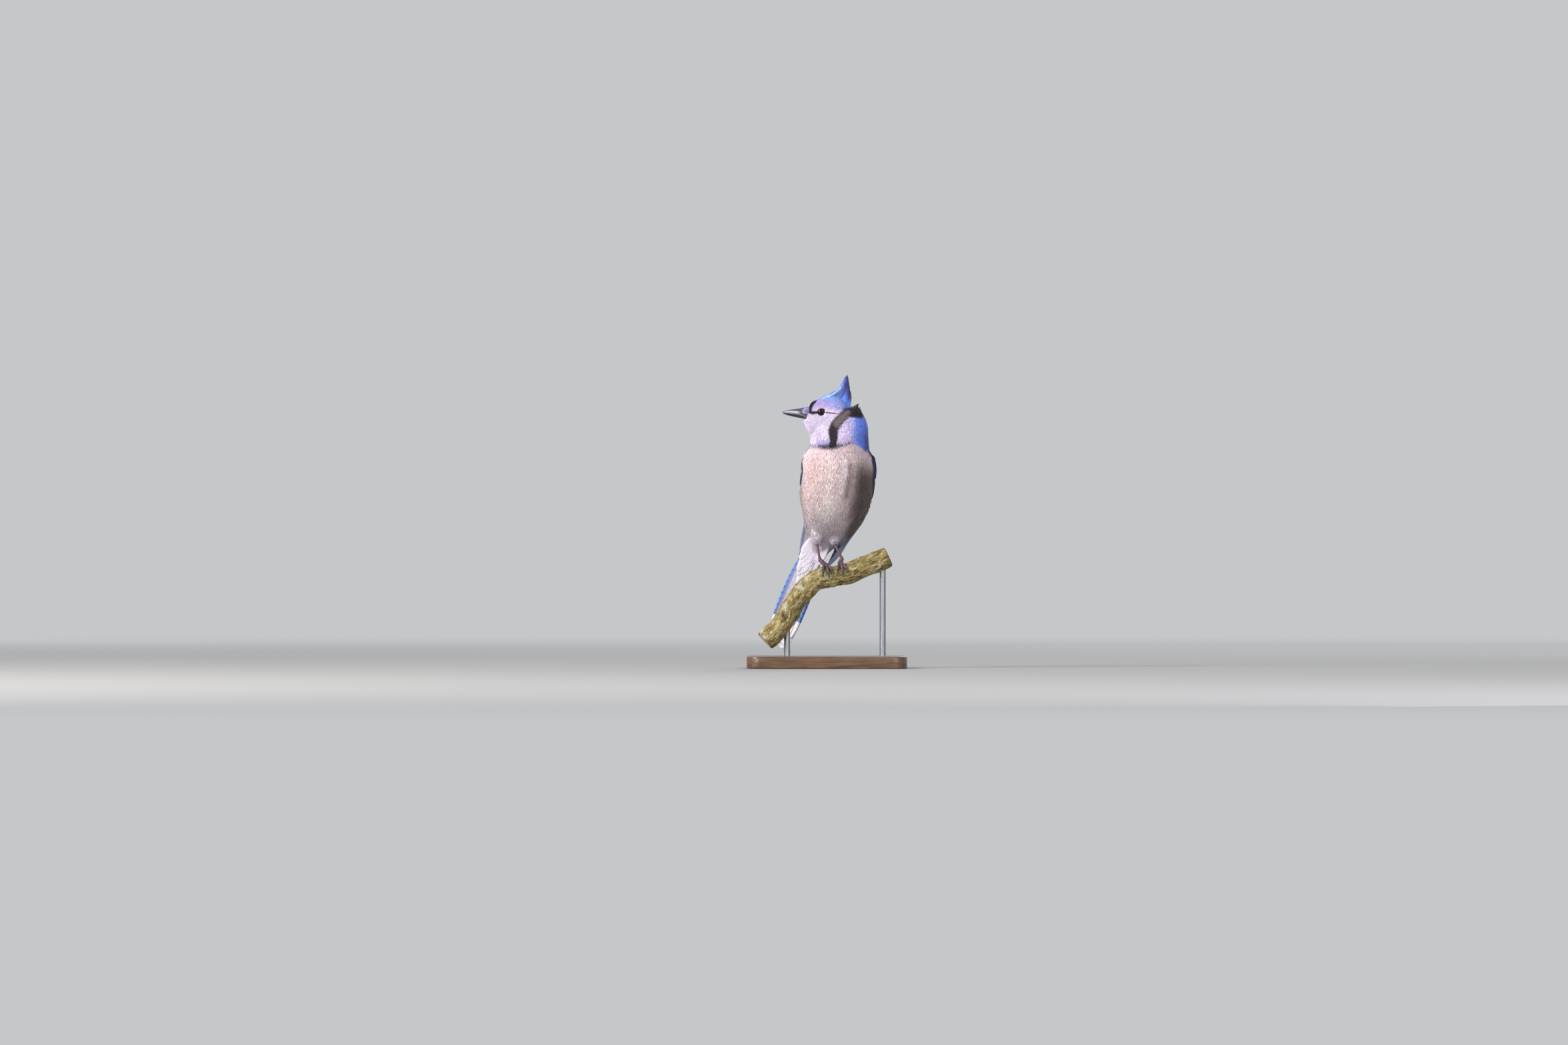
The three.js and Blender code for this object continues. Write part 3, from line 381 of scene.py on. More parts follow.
def joined(name: str, things: list[Object]) -> Object:
    """Joins objects into a new one and removes them."""
    form = bmesh.new()
    for thing in things:
        form.from_mesh(thing.data)
    for thing in things:
        bpy.data.meshes.remove(thing.data)
    return finished(name, form)


def settle(thing: Object) -> None:
    """Applies an object's modifiers to its mesh."""
    graph = bpy.context.evaluated_depsgraph_get()
    mesh = bpy.data.meshes.new_from_object(thing.evaluated_get(graph))
    thing.modifiers.clear()
    old, thing.data = thing.data, mesh
    bpy.data.meshes.remove(old)


def cut_out(thing: Object, forms: list[bmesh.types.BMesh]) -> None:
    """Cuts closed forms out of an object."""
    cutter = joined("cutter_form", [finished("cutter_form", form) for form in forms])
    cut = thing.modifiers.new("cut", "BOOLEAN")
    cut.operation = "DIFFERENCE"
    cut.solver = "EXACT"
    cut.object = cutter
    settle(thing)
    bpy.data.meshes.remove(cutter.data)


def points_of(thing: Object) -> Array:
    """An object's points in millimetres."""
    return np.array([vert.co for vert in thing.data.vertices]) / MM


def keep_piece(thing: Object, finish: bpy.types.Material, slot: str, *nodes: str) -> None:
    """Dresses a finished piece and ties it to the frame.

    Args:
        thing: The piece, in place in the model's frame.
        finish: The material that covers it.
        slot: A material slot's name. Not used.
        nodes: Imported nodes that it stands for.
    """
    thing.data.materials.clear()
    thing.data.materials.append(finish)
    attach(thing, BODY)
    if nodes:
        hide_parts(*nodes)
    log.info("%s: %d triangles", thing.name, sum(len(face.vertices) - 2 for face in thing.data.polygons))


def linear(code: str) -> Array:
    """Turns an sRGB hex colour into linear red, green and blue."""
    value = np.array([int(code[start : start + 2], 16) for start in (1, 3, 5)]) / 255
    return np.where(value <= 0.04045, value / 12.92, ((value + 0.055) / 1.055) ** 2.4)


def tones(rows: tuple[tuple[float, str], ...], at: Array) -> Array:
    """Linear colours between rows of a place and a hex colour."""
    places, codes = zip(*rows)
    parts = np.array([linear(code) for code in codes]).T
    return np.stack([np.interp(at, places, part) for part in parts], axis=-1)


def rgba(code: str) -> tuple[float, float, float, float]:
    """A hex colour as a node socket takes it."""
    return (*(float(part) for part in linear(code)), 1.0)


def per_mm(size: float) -> float:
    """The scale that gives a pattern its real size in millimetres."""
    return 1 / (size * MM)


def connect(tree: bpy.types.NodeTree, socket: Socket, value: object) -> None:
    """Links an input to another node's output, or sets its value."""
    if isinstance(value, bpy.types.NodeSocket):
        tree.links.new(value, socket)
    else:
        socket.default_value = value


def add_node(
    tree: bpy.types.NodeTree, kind: str, inputs: dict | None = None, **settings: object
) -> bpy.types.Node:
    """Adds a node, sets its options, and sets or links its inputs.

    Args:
        tree: The material's node tree.
        kind: The node's Blender type.
        inputs: Values or output sockets, by the name or number of the input.
        settings: Options of the node itself.

    Returns:
        The new node.
    """
    node = tree.nodes.new(f"ShaderNode{kind}")
    for name, value in settings.items():
        setattr(node, name, value)
    for name, value in (inputs or {}).items():
        connect(tree, node.inputs[name], value)
    return node


class Graph:
    """The nodes of one material, with a short call for each kind of pattern."""

    def __init__(self, name: str) -> None:
        """Starts the material with a plain shader."""
        self.material = bpy.data.materials.new(name)
        self.material.use_nodes = True
        self.tree = self.material.node_tree
        self.tree.nodes.clear()
        self.shader = self.add("BsdfPrincipled")
        self.output = self.add("OutputMaterial", {"Surface": self.shader.outputs["BSDF"]})

    def add(self, kind: str, inputs: dict | None = None, **settings: object) -> bpy.types.Node:
        """Adds a node."""
        return add_node(self.tree, kind, inputs, **settings)

    def shade(self, **inputs: object) -> None:
        """Sets or links the shader's inputs, whose names are given with underscores for spaces."""
        for name, value in inputs.items():
            connect(self.tree, self.shader.inputs[name.replace("_", " ")], value)

    def place(self) -> Socket:
        """Places in the object's own space, in metres."""
        return self.add("TexCoord").outputs["Object"]

    def painted(self, name: str = "pigment") -> Socket:
        """A colour that is painted on the piece."""
        return self.add("Attribute", attribute_name=name).outputs["Color"]

    def vane(self) -> Socket:
        """Places on a feather's own map."""
        return self.add("UVMap", uv_map="Vane").outputs["UV"]

    def stretched(self, place: Socket, scale: tuple, shift: tuple = (0.0, 0.0, 0.0)) -> Socket:
        """Places that are scaled along each axis and then moved."""
        return self.add("Mapping", {"Vector": place, "Scale": scale, "Location": shift}).outputs["Vector"]

    def noise(self, place: Socket, scale: float, detail: float) -> Socket:
        """A noise from 0 to 1."""
        return self.add("TexNoise", {"Vector": place, "Scale": scale, "Detail": detail}).outputs["Fac"]

    def spread(
        self,
        value: Socket,
        low: float,
        high: float,
        least: float = 0.0,
        most: float = 1.0,
        kind: str = "LINEAR",
    ) -> Socket:
        """The range of a value from low to high, spread from least to most."""
        inputs = {0: value, 1: low, 2: high, 3: least, 4: most}
        return self.add("MapRange", inputs, interpolation_type=kind).outputs["Result"]

    def step(self, value: Socket, low: float, high: float) -> Socket:
        """A soft step from 0 to 1 between two values."""
        return self.spread(value, low, high, kind="SMOOTHSTEP")

    def maths(self, operation: str, first: object, second: object = 0.0) -> Socket:
        """One sum."""
        return self.add("Math", {0: first, 1: second}, operation=operation).outputs["Value"]

    def times(self, first: object, second: object) -> Socket:
        """A product."""
        return self.maths("MULTIPLY", first, second)

    def plus(self, first: object, second: object) -> Socket:
        """A total."""
        return self.maths("ADD", first, second)

    def less(self, first: object, second: object) -> Socket:
        """A difference."""
        return self.maths("SUBTRACT", first, second)

    def rest(self, share: Socket) -> Socket:
        """What a share leaves of the whole."""
        return self.less(1.0, share)

    def bands(self, value: Socket, pitch: object) -> Socket:
        """A wave from 0 to a half and back, once in each pitch."""
        return self.maths("PINGPONG", self.maths("DIVIDE", value, pitch), 0.5)

    def over(self, under: Socket, paint: object, cover: object) -> Socket:
        """Lays one colour over another."""
        return self.add("Mix", {0: cover, 6: under, 7: paint}, data_type="RGBA").outputs[2]

    def toned(self, colour: Socket, gain: Socket) -> Socket:
        """A colour made lighter or darker."""
        return self.add("VectorMath", {0: colour, "Scale": gain}, operation="SCALE").outputs["Vector"]

    def length(self, place: Socket) -> Socket:
        """The distance of places from their origin."""
        return self.add("VectorMath", {0: place}, operation="LENGTH").outputs["Value"]

    def ramp(self, value: Socket, *stops: tuple[float, str]) -> Socket:
        """Hex colours along a value."""
        node = self.add("ValToRGB", {0: value})
        elements = node.color_ramp.elements
        while len(elements) < len(stops):
            elements.new(0.5)
        for element, (place, code) in zip(elements, stops):
            element.position = place
            element.color = rgba(code)
        return node.outputs["Color"]

    def bump(self, height: Socket, strength: float, depth: float) -> Socket:
        """Fine relief with a depth in millimetres."""
        inputs = {"Strength": strength, "Distance": depth * MM, "Height": height}
        return self.add("Bump", inputs).outputs["Normal"]


@dataclass(frozen=True)
class Finish:
    """A surface finish. Each kind names a real material and draws its patterns."""

    name: str

    def build(self) -> bpy.types.Material:
        """Makes the material."""
        graph = Graph(self.name)
        self.fill(graph)
        return graph.material

    def fill(self, graph: Graph) -> None:
        """Draws the patterns and sets the shader."""
        raise NotImplementedError


@dataclass(frozen=True)
class DownyPlumage(Finish):
    """Soft contour feathers: loose barbs scatter the light, so they look matt with a pale sheen."""

    barb_count: float = 9.0
    streak: float = 0.2

    def fill(self, graph: Graph) -> None:
        """Streaks the feathers' own colour along their barbs and mottles it from feather to feather."""
        barbs = graph.noise(graph.stretched(graph.vane(), (self.barb_count, 1.2, 1.0)), 1.6, 3.0)
        streaks = graph.spread(barbs, 0.3, 0.7, 1 - self.streak, 1 + self.streak * 0.8)
        mottle = graph.spread(graph.noise(graph.place(), per_mm(9), 2.0), 0.3, 0.7, 0.93, 1.06)
        colour = graph.toned(graph.painted(), graph.times(streaks, mottle))
        graph.shade(Base_Color=colour, Normal=graph.bump(barbs, 0.35, 0.25))
        graph.shade(
            Roughness=0.78, IOR=1.45, Specular_IOR_Level=0.25, Sheen_Weight=0.22, Sheen_Roughness=0.45
        )


@dataclass(frozen=True)
class SkinUnderPlumage(Finish):
    """Skin and underdown between the feathers: the same markings, dull and a little darker."""

    def fill(self, graph: Graph) -> None:
        """Mottles the markings with a fine down."""
        down = graph.noise(graph.place(), per_mm(0.8), 4.0)
        colour = graph.toned(graph.painted(), graph.spread(down, 0.3, 0.7, 0.62, 0.9))
        graph.shade(Base_Color=colour, Normal=graph.bump(down, 0.6, 0.3), Roughness=0.9)


@dataclass(frozen=True)
class BarredVane(Finish):
    """Flight feathers and coverts: close barbs in a firm vane, satin, with black bars and white tips.

    The vane's map gives the share across it and the distance from its tip in decimetres. The marks give the
    strength of the bars, the length of the white tip as a share of MOST_WHITE, the darkness of the inner
    web, and in their last channel the pitch of the bars as a share of MOST_PITCH.
    """

    shaft: float = 0.36
    barb_pitch: float = 0.75

    def fill(self, graph: Graph) -> None:
        """Draws the bars, tip, inner web, shaft and barbs over the vane's own colour."""
        marks = graph.add("Attribute", attribute_name="marks")
        strength, tip, dusk = graph.add("SeparateColor", {0: marks.outputs["Color"]}).outputs[:3]
        share = graph.add("SeparateXYZ", {0: graph.vane()}).outputs
        across, from_tip = share["X"], graph.times(share["Y"], VANE_MAP)
        wander = graph.times(graph.less(graph.noise(graph.place(), per_mm(1.4), 2.0), 0.5), 1.6)
        from_shaft = graph.maths("ABSOLUTE", graph.less(across, self.shaft))

        slanted = graph.plus(graph.plus(from_tip, graph.times(from_shaft, 5.0)), wander)
        wave = graph.bands(slanted, graph.times(marks.outputs["Alpha"], MOST_PITCH))
        inner = graph.times(dusk, graph.step(across, 0.52, 0.66))
        bars = graph.times(graph.times(graph.rest(graph.step(wave, 0.12, 0.2)), strength), graph.rest(inner))
        barbs = graph.bands(graph.plus(from_tip, graph.times(from_shaft, 7.0)), self.barb_pitch)
        edge = graph.less(graph.plus(from_tip, wander), graph.times(tip, MOST_WHITE))
        tipped = graph.step(tip, 0.01, 0.03)
        white = graph.times(graph.rest(graph.step(edge, -0.5, 0.5)), tipped)
        last_bar = graph.times(graph.times(graph.rest(graph.step(edge, 1.6, 2.4)), strength), tipped)
        shaft = graph.times(graph.rest(graph.step(from_shaft, 0.012, 0.03)), 0.75)

        colour = graph.painted()
        black = graph.maths("MAXIMUM", bars, last_bar)
        for code, cover in (("#2A2C38", inner), ("#0E0F17", black), ("#EDEBF2", white), ("#16151C", shaft)):
            colour = graph.over(colour, rgba(code), cover)
        colour = graph.toned(colour, graph.spread(barbs, 0.0, 0.5, 0.86, 1.1))
        graph.shade(Base_Color=colour, Normal=graph.bump(barbs, 0.3, 0.12))
        graph.shade(Roughness=0.5, IOR=1.5, Specular_IOR_Level=0.35, Sheen_Weight=0.12, Sheen_Roughness=0.4)


@dataclass(frozen=True)
class PolishedHorn(Finish):
    """Horn of the bill or a claw: dense keratin, satin to glossy, with faint growth lines along it."""

    colour: str = "#23242C"
    pale: str = "#5A5D6C"
    roughness: float = 0.3
    grain: float = 2.2
    painted: bool = False

    def fill(self, graph: Graph) -> None:
        """Draws growth lines and a paler wear, over the piece's own pigment where it has one."""
        fine = per_mm(self.grain)
        grain = graph.noise(graph.stretched(graph.place(), (0.15 * fine, fine, fine)), 1.0, 4.0)
        colour = graph.ramp(grain, (0.38, self.colour), (0.8, self.pale))
        if self.painted:
            colour = graph.over(graph.painted(), colour, 0.25)
        gloss = graph.spread(grain, 0.3, 0.8, self.roughness * 0.8, self.roughness * 1.4)
        graph.shade(Base_Color=colour, Roughness=gloss, Normal=graph.bump(grain, 0.2, 0.1), IOR=1.54)


@dataclass(frozen=True)
class WetEye(Finish):
    """Eye under a wet cornea: a dark maroon iris round a black pupil, mirror bright."""

    centre: tuple[float, float, float] = (0.0, 0.0, 0.0)
    iris_radius: float = 3.5
    pupil_radius: float = 1.9

    def fill(self, graph: Graph) -> None:
        """Rings the iris round the eye's own axis."""
        x, _, z = self.centre
        flat = graph.stretched(graph.place(), (1.0, 0.0, 1.0), (-x * MM, 0.0, -z * MM))
        share = graph.maths("DIVIDE", graph.length(flat), self.iris_radius * MM)
        rim = self.pupil_radius / self.iris_radius
        stops = ((rim - 0.04, "#050406"), (rim + 0.05, "#34101A"), (0.8, "#431824"), (0.93, "#170A0F"))
        graph.shade(Base_Color=graph.ramp(share, *stops), Roughness=0.3, IOR=1.33, Specular_IOR_Level=0.1)
        graph.shade(Coat_Weight=0.5, Coat_Roughness=0.02, Coat_IOR=1.38)


@dataclass(frozen=True)
class ScalyLegSkin(Finish):
    """Leg skin: leathery scales, dark grey-brown with a dull pink between them and a dry satin shine."""

    scale: float = 0.9

    def fill(self, graph: Graph) -> None:
        """Draws small scales with paler borders."""
        place = graph.place()
        inputs = {"Vector": place, "Scale": per_mm(self.scale)}
        border = graph.add("TexVoronoi", inputs, feature="DISTANCE_TO_EDGE").outputs["Distance"]
        skin = graph.ramp(graph.noise(place, per_mm(4), 3.0), (0.35, "#2E2229"), (0.7, "#554046"))
        colour = graph.over(skin, rgba("#7A5F62"), graph.spread(border, 0.0, 0.12, 1.0, 0.0))
        graph.shade(Base_Color=colour, Normal=graph.bump(border, 0.5, 0.15), Roughness=0.5, IOR=1.45)


@dataclass(frozen=True)
class LichenedBark(Finish):
    """Bark of an old branch: ochre and olive ridges, dark furrows and pale grey-green lichen. The furrows'
    darkness and the ridges' paleness come from painted shade and painted highlights in the bark's painted
    colour.
    """

    ridge: float = 3.5

    def fill(self, graph: Graph) -> None:
        """Mixes ridges, furrows, flecks and lichen by noises of real sizes."""
        place = graph.place()
        sizes = ((14, 5.0), (self.ridge, 6.0), (1.1, 3.0))
        broad, ridges, flecks = (graph.noise(place, per_mm(size), detail) for size, detail in sizes)
        ground = graph.toned(graph.painted(), graph.spread(ridges, 0.3, 0.7, 0.74, 1.24))
        crust = graph.ramp(flecks, (0.35, "#9A9A80"), (0.65, "#D2D2C4"))
        colour = graph.over(ground, crust, graph.spread(broad, 0.6, 0.7, 0.0, 0.75))
        relief = graph.bump(graph.plus(ridges, flecks), 0.8, 0.8)
        graph.shade(Base_Color=colour, Normal=relief, Roughness=0.88, Specular_IOR_Level=0.25)


@dataclass(frozen=True)
class SawnEndGrain(Finish):
    """Sawn end of the branch: pale yellow wood in growth rings round a darker heart."""

    centre: tuple[float, float, float] = (0.0, 0.0, 0.0)
    ring: float = 1.3

    def fill(self, graph: Graph) -> None:
        """Rings the wood round the branch's axis."""
        place = graph.place()
        warp = graph.times(graph.noise(place, per_mm(5), 2.0), 0.9 * MM)
        back = tuple(-part * MM for part in self.centre)
        away = graph.length(graph.stretched(place, (1.0, 1.0, 1.0), back))
        rings = graph.bands(graph.plus(warp, away), self.ring * MM)
        graph.shade(Base_Color=graph.ramp(rings, (0.0, "#A98752"), (0.2, "#CDB27C"), (0.5, "#D9C28F")))
        graph.shade(Roughness=0.75)


@dataclass(frozen=True)
class VarnishedWalnut(Finish):
    """Turned and varnished walnut: brown grain along the board under a thin satin coat."""

    grain: float = 2.0

    def fill(self, graph: Graph) -> None:
        """Stretches a noise along X for the grain."""
        fine = per_mm(self.grain)
        grain = graph.noise(graph.stretched(graph.place(), (0.07 * fine, fine, fine)), 1.0, 6.0)
        wood = graph.ramp(grain, (0.3, "#3A2619"), (0.52, "#5E4129"), (0.75, "#7B5836"))
        graph.shade(Base_Color=wood, Normal=graph.bump(grain, 0.12, 0.1), Roughness=0.42)
        graph.shade(Coat_Weight=0.5, Coat_Roughness=0.2)


@dataclass(frozen=True)
class BrushedSteel(Finish):
    """Drawn steel rod, brushed along its length: a soft bright metal."""

    def fill(self, graph: Graph) -> None:
        """Varies the roughness with fine lines along Z."""
        drawn = graph.stretched(graph.place(), (per_mm(0.3), per_mm(0.3), per_mm(30)))
        lines = graph.noise(drawn, 1.0, 3.0)
        tone = graph.ramp(lines, (0.3, "#85888D"), (0.7, "#A9ACB1"))
        graph.shade(Base_Color=tone, Roughness=graph.spread(lines, 0.3, 0.7, 0.26, 0.42), Metallic=1.0)


class Side(Enum):
    """Side of the head that a marking is on, seen from the camera."""

    NEAR = -1
    FAR = 1
    BOTH = 0


@dataclass(frozen=True)
class Stroke:
    """A marking painted along a bent line in the head's profile: places on X and Z with half widths."""

    colour: str
    line: tuple[tuple[float, float, float], ...]
    soft: float = 0.8
    cover: float = 1.0
    side: Side = Side.BOTH

    def cover_at(self, points: Array) -> Array:
        """How far the stroke covers each point, from 0 to 1."""
        nodes = np.asarray(self.line, float)
        least = np.full(len(points), np.inf)
        flat = points[:, [0, 2]]
        for first, last in zip(nodes[:-1], nodes[1:]):
            run = last[:2] - first[:2]
            share = np.clip(((flat - first[:2]) @ run) / max(run @ run, 1e-9), 0, 1)
            away = np.linalg.norm(flat - first[:2] - share[:, None] * run, axis=1)
            least = np.minimum(least, away - mix(first[2], last[2], share))
        inside = ease(0.5 - least / (2 * self.soft))
        if self.side is not Side.BOTH:
            inside = inside * ease(0.5 + self.side.value * (points[:, 1] - HEAD_Y) / 4)
        return inside * self.cover


@dataclass
class Markings:
    """Colours of the plumage, worked out from where a feather grows. Besides the bird's own markings they
    hold painted shade on the side away from the light and painted highlights on the side towards it. Skin and
    coat share them.
    """

    face: str = "#E6DAF1"
    breast: tuple[tuple[float, str], ...] = (
        (104, "#E2DCEC"), (120, "#E4DCE8"), (134, "#E6DAE2"), (150, "#ECDADE"), (168, "#EED8D8"),
        (190, "#F0DBDA"),
        (206, "#F1DCDF"), (216, "#EEDADD"),
    )
    # Grey of the flanks, laid much darker on the side away from the light as painted shade.
    flank_grey_and_shade: str = "#5F544E"
    mantle: str = "#6974BC"
    rump: str = "#7C95DE"
    nape: str = "#7699F8"
    neck_side: str = "#DDD0EE"
    # Dark blue of the shoulder, laid only on the side away from the light, so partly the shoulder's own blue
    # and partly painted shade.
    shoulder_blue_and_shade: str = "#4C4F8C"
    crown: str = "#A3B6EF"
    # Brighter azure on the top of the crown: a painted highlight.
    crown_painted_highlight: str = "#94BAFA"
    # Height of the crown's lower border along the profile.
    crown_border: tuple[tuple[float, float], ...] = (
        (-20, 262), (-10, 261), (0, 258.5), (6, 255.5), (12, 252.5), (20, 250), (34, 250),
    )
    # Height of the breast's upper border along the profile.
    breast_top: tuple[tuple[float, float], ...] = (
        (-20, 215.2), (-9, 215.2), (0, 213.8), (8, 214.4), (15, 216.8), (22, 219), (29, 217.6),
        (34, 214.5), (38, 210),
    )
    # Place of the collar's middle along the profile by height, on the near and on the far side.
    collar_near: tuple[tuple[float, float], ...] = (
        (212, 8), (224, 7.5), (231, 7), (237, 9), (243.5, 15), (250, 22),
    )
    collar_far: tuple[tuple[float, float], ...] = (
        (212, -20), (217.5, -15), (222, -9), (230, 0), (237, 8), (243.5, 15), (250, 22),
    )
    strokes: tuple[Stroke, ...] = (
        Stroke(
            "#C4B4EC",
            ((-12, 256.5, 2.6), (-6, 257.6, 3.4), (2, 257, 3.4), (9, 254.6, 2.4), (14, 252.6, 1.2)),
            2.8, 0.9,
        ),
        Stroke("#A9B0F2", ((2, 259.5, 2.4), (12, 257, 3.6), (17, 256, 3)), 2.4, 0.8),
        Stroke("#5C83E6", ((19.5, 262, 1.6), (20.5, 256, 2), (17, 252.5, 1.4)), 1.4, 0.85),
        Stroke("#F1EAFB", ((0, 250.9, 0.7), (6, 250.2, 0.7), (11, 250.2, 0.6)), 0.5),
        Stroke("#F4E6DE", ((-16.5, 243.5, 1.6), (-13, 243.2, 1.6)), 2.6, 0.4),
        Stroke("#BDB7E8", ((-9, 219.5, 2), (-3, 219, 3), (2, 221, 3)), 2, 0.75, Side.NEAR),
        Stroke("#8D86C4", ((-7, 217.6, 1), (-2, 217, 1.6), (2.5, 218.5, 1.4)), 1.4, 0.6, Side.NEAR),
        Stroke("#6A5A86", ((-17, 216.6, 0.8), (-12, 216, 1.2), (-7, 215.8, 1.2)), 1.2, 0.8, Side.NEAR),
        Stroke("#46344F", ((-8, 216, 1), (-3, 215.4, 2), (3, 215.4, 2.3), (9, 216, 2.1)), 0.8, 1, Side.NEAR),
        Stroke(
            "#53405F", ((9, 216, 1.7), (15, 217, 1.2), (20, 218.6, 1), (26, 219.8, 0.5)), 0.8, 1, Side.NEAR
        ),
        Stroke(
            "#2A2029",
            ((32.4, 247, 3.6), (27.5, 249.6, 5.4), (20, 249.2, 4.5), (14, 243.5, 4.6), (8.5, 237, 4.9),
             (6, 231.5, 4.5), (6.6, 225.5, 4.2), (6.6, 221, 3.3), (5.5, 217, 3.5)),
            0.9, 1, Side.NEAR,
        ),
        # Painted light: a lit grey over the black collar where the light falls on it.
        Stroke("#82737A", ((20.5, 249.4, 2.2), (14.5, 243.8, 3.1), (9.5, 238, 3.2)), 1.6, 0.9, Side.NEAR),
        Stroke(
            "#2A2029",
            ((32.4, 247, 3.6), (27.5, 249.6, 5.4), (20, 249.2, 4.5), (14, 243.5, 4.2), (8, 237, 3.8),
             (0, 230, 3.4), (-9, 221.6, 2.8), (-14, 217.6, 2.2), (-17, 216.2, 1.2)),
            0.9, 1, Side.FAR,
        ),
        Stroke(
            "#231934",
            ((-15.9, 250.4, 1.5), (-15.7, 254.4, 1.75), (-14.4, 257.2, 1.7), (-12.4, 259.2, 1.4),
             (-10, 260.5, 0.8)),
            0.5,
        ),
        Stroke("#2B1D2F", ((-17.2, 249.4, 1), (-14, 248.8, 1.6), (-11, 249.1, 1.4), (-7.8, 249.4, 1.2)), 0.5),
        Stroke("#4E3F5E", ((-3, 249.4, 0.7), (3, 248.8, 0.5), (8, 248.2, 0.45), (11, 248.3, 0.3)), 0.35),
        # Painted light: a paler patch on the middle of the breast where the light falls most.
        Stroke("#FFEFEF", ((4, 207, 3), (4, 196, 5), (3, 182, 3)), 5, 0.7, Side.NEAR),
        Stroke("#E2C2C0", ((-13, 208, 2), (-13.5, 196, 4), (-15, 182, 3)), 5, 0.6, Side.NEAR),
        # Painted light: a paler patch on the middle of the belly where the light falls most.
        Stroke("#FBF3F0", ((3, 174, 2), (1, 160, 5), (-1, 142, 6)), 8, 0.85, Side.NEAR),
        # Painted shade: a dark band down the flank away from the light.
        Stroke(
            "#4A423C", ((34, 196, 1), (32, 182, 2), (29, 166, 4), (25, 150, 4), (19, 134, 1.5)),
            8, 0.6, Side.NEAR,
        ),
        # Painted shadow beside the breast's ridge, on its side away from the light.
        Stroke(
            "#7E6E69", ((22.6, 199, 0.8), (22.6, 190, 2), (20.8, 178, 2.4), (18, 166, 1.4)),
            3.2, 0.75, Side.NEAR,
        ),
        # White streaks along the breast's ridge: white down where the feathers part, and partly a painted
        # highlight where the light strikes the ridge.
        Stroke("#F7F0F6", ((17.4, 193, 1.4), (13.8, 178, 2.6), (10, 162, 2.6)), 3.6, 0.55, Side.NEAR),
        Stroke("#FFFAFF", ((16.2, 205, 0.8), (18.2, 199, 1.7), (17.6, 189, 1.3)), 1.8, 0.85, Side.NEAR),
        Stroke("#EFEAF3", ((22, 156, 0.7), (17, 148, 0.8)), 0.8, 0.6, Side.NEAR),
        Stroke("#EFEAF3", ((16, 136, 0.7), (11, 131, 0.8), (7, 127, 0.6)), 0.8, 0.7, Side.NEAR),
    )

    def colours(self, points: Array) -> Array:
        """Linear colours of feathers that grow at points, given in millimetres."""
        x, y, z = points.T
        places = BodyPlaces.of(points)
        near = ease(0.5 - (y - HEAD_Y) / 5)
        colour = tones(self.breast, z)
        # Painted shade: the flank on the side away from the light (x beyond 12) is darkened almost to the
        # flank grey; the next line greys both flanks evenly.
        flank_grey_and_shade = ease((0.95 - places.front) / 0.34) * ease((208 - z) / 26) * ease((x - 12) / 11) * 0.92
        flank_grey_and_shade = np.maximum(flank_grey_and_shade, ease((0.62 - places.front) / 0.5) * ease((200 - z) / 30) * 0.5)
        colour = self._over(colour, self.flank_grey_and_shade, flank_grey_and_shade)
        back = self._over(linear(self.mantle), self.rump, ease((places.at - 96) / 26))
        droop = np.where(np.cos(places.angle) > 0, 12, mix(14, 50, ease((places.at - 80) / 76)))
        wing_edge = np.sin(np.radians(droop))
        colour = self._blend(colour, back, ease((0.04 - places.front - wing_edge) / 0.14))
        # Painted shade: the dark shoulder blue on the shoulder away from the light.
        bend = ease((x - 34) / 4) * ease((z - 203) / 8) * ease((224 - z) / 6)
        colour = self._over(colour, self.shoulder_blue_and_shade, bend * ease((0.32 - places.front) / 0.25))

        behind_near = ease((x - read(self.collar_near, z)) / 2 + 0.5)
        behind_far = ease((x - read(self.collar_far, z)) / 2 + 0.5)
        side = self._over(linear(self.neck_side), self.nape, ease((x - 19) / 13))
        side = self._over(side, self.mantle, ease((x - 33) / 7) * ease((244 - z) / 14) * 0.7)
        # Painted shade: dark shoulder blue on the lower edge of the neck's side away from the light.
        side = self._over(side, self.shoulder_blue_and_shade, ease((x - 35) / 5) * ease((232 - z) / 10) * 0.7)
        blue = self._over(linear(self.nape), self.mantle, ease((236 - z) / 14))
        side = self._blend(blue, side, near)
        neck = self._blend(linear(self.face), side, mix(behind_far, behind_near, near))
        throat_foot = read(self.breast_top, x) - 4 * (1 - near)
        colour = self._blend(colour, neck, ease((z - throat_foot) / 1.6 + 0.5) * ease((44 - places.at) / 3))

        above = z - read(self.crown_border, x)
        # Painted highlight: the top of the crown is laid over with brighter azure.
        crown = self._over(linear(self.crown), self.crown_painted_highlight, ease((above - 3.5) / 4) * 0.7)
        colour = self._blend(colour, crown, ease(above / 3 + 0.5) * ease((z - 246) / 4))
        for stroke in self.strokes:
            colour = self._over(colour, stroke.colour, stroke.cover_at(points))
        return colour

    @staticmethod
    def _blend(under: Array, over: Array, share: Array) -> Array:
        """Mixes two lists of colours."""
        return under + (over - under) * np.clip(share, 0, 1)[:, None]

    @classmethod
    def _over(cls, under: Array, code: str, share: Array) -> Array:
        """Lays one hex colour over a list of colours."""
        return cls._blend(under, linear(code), share)


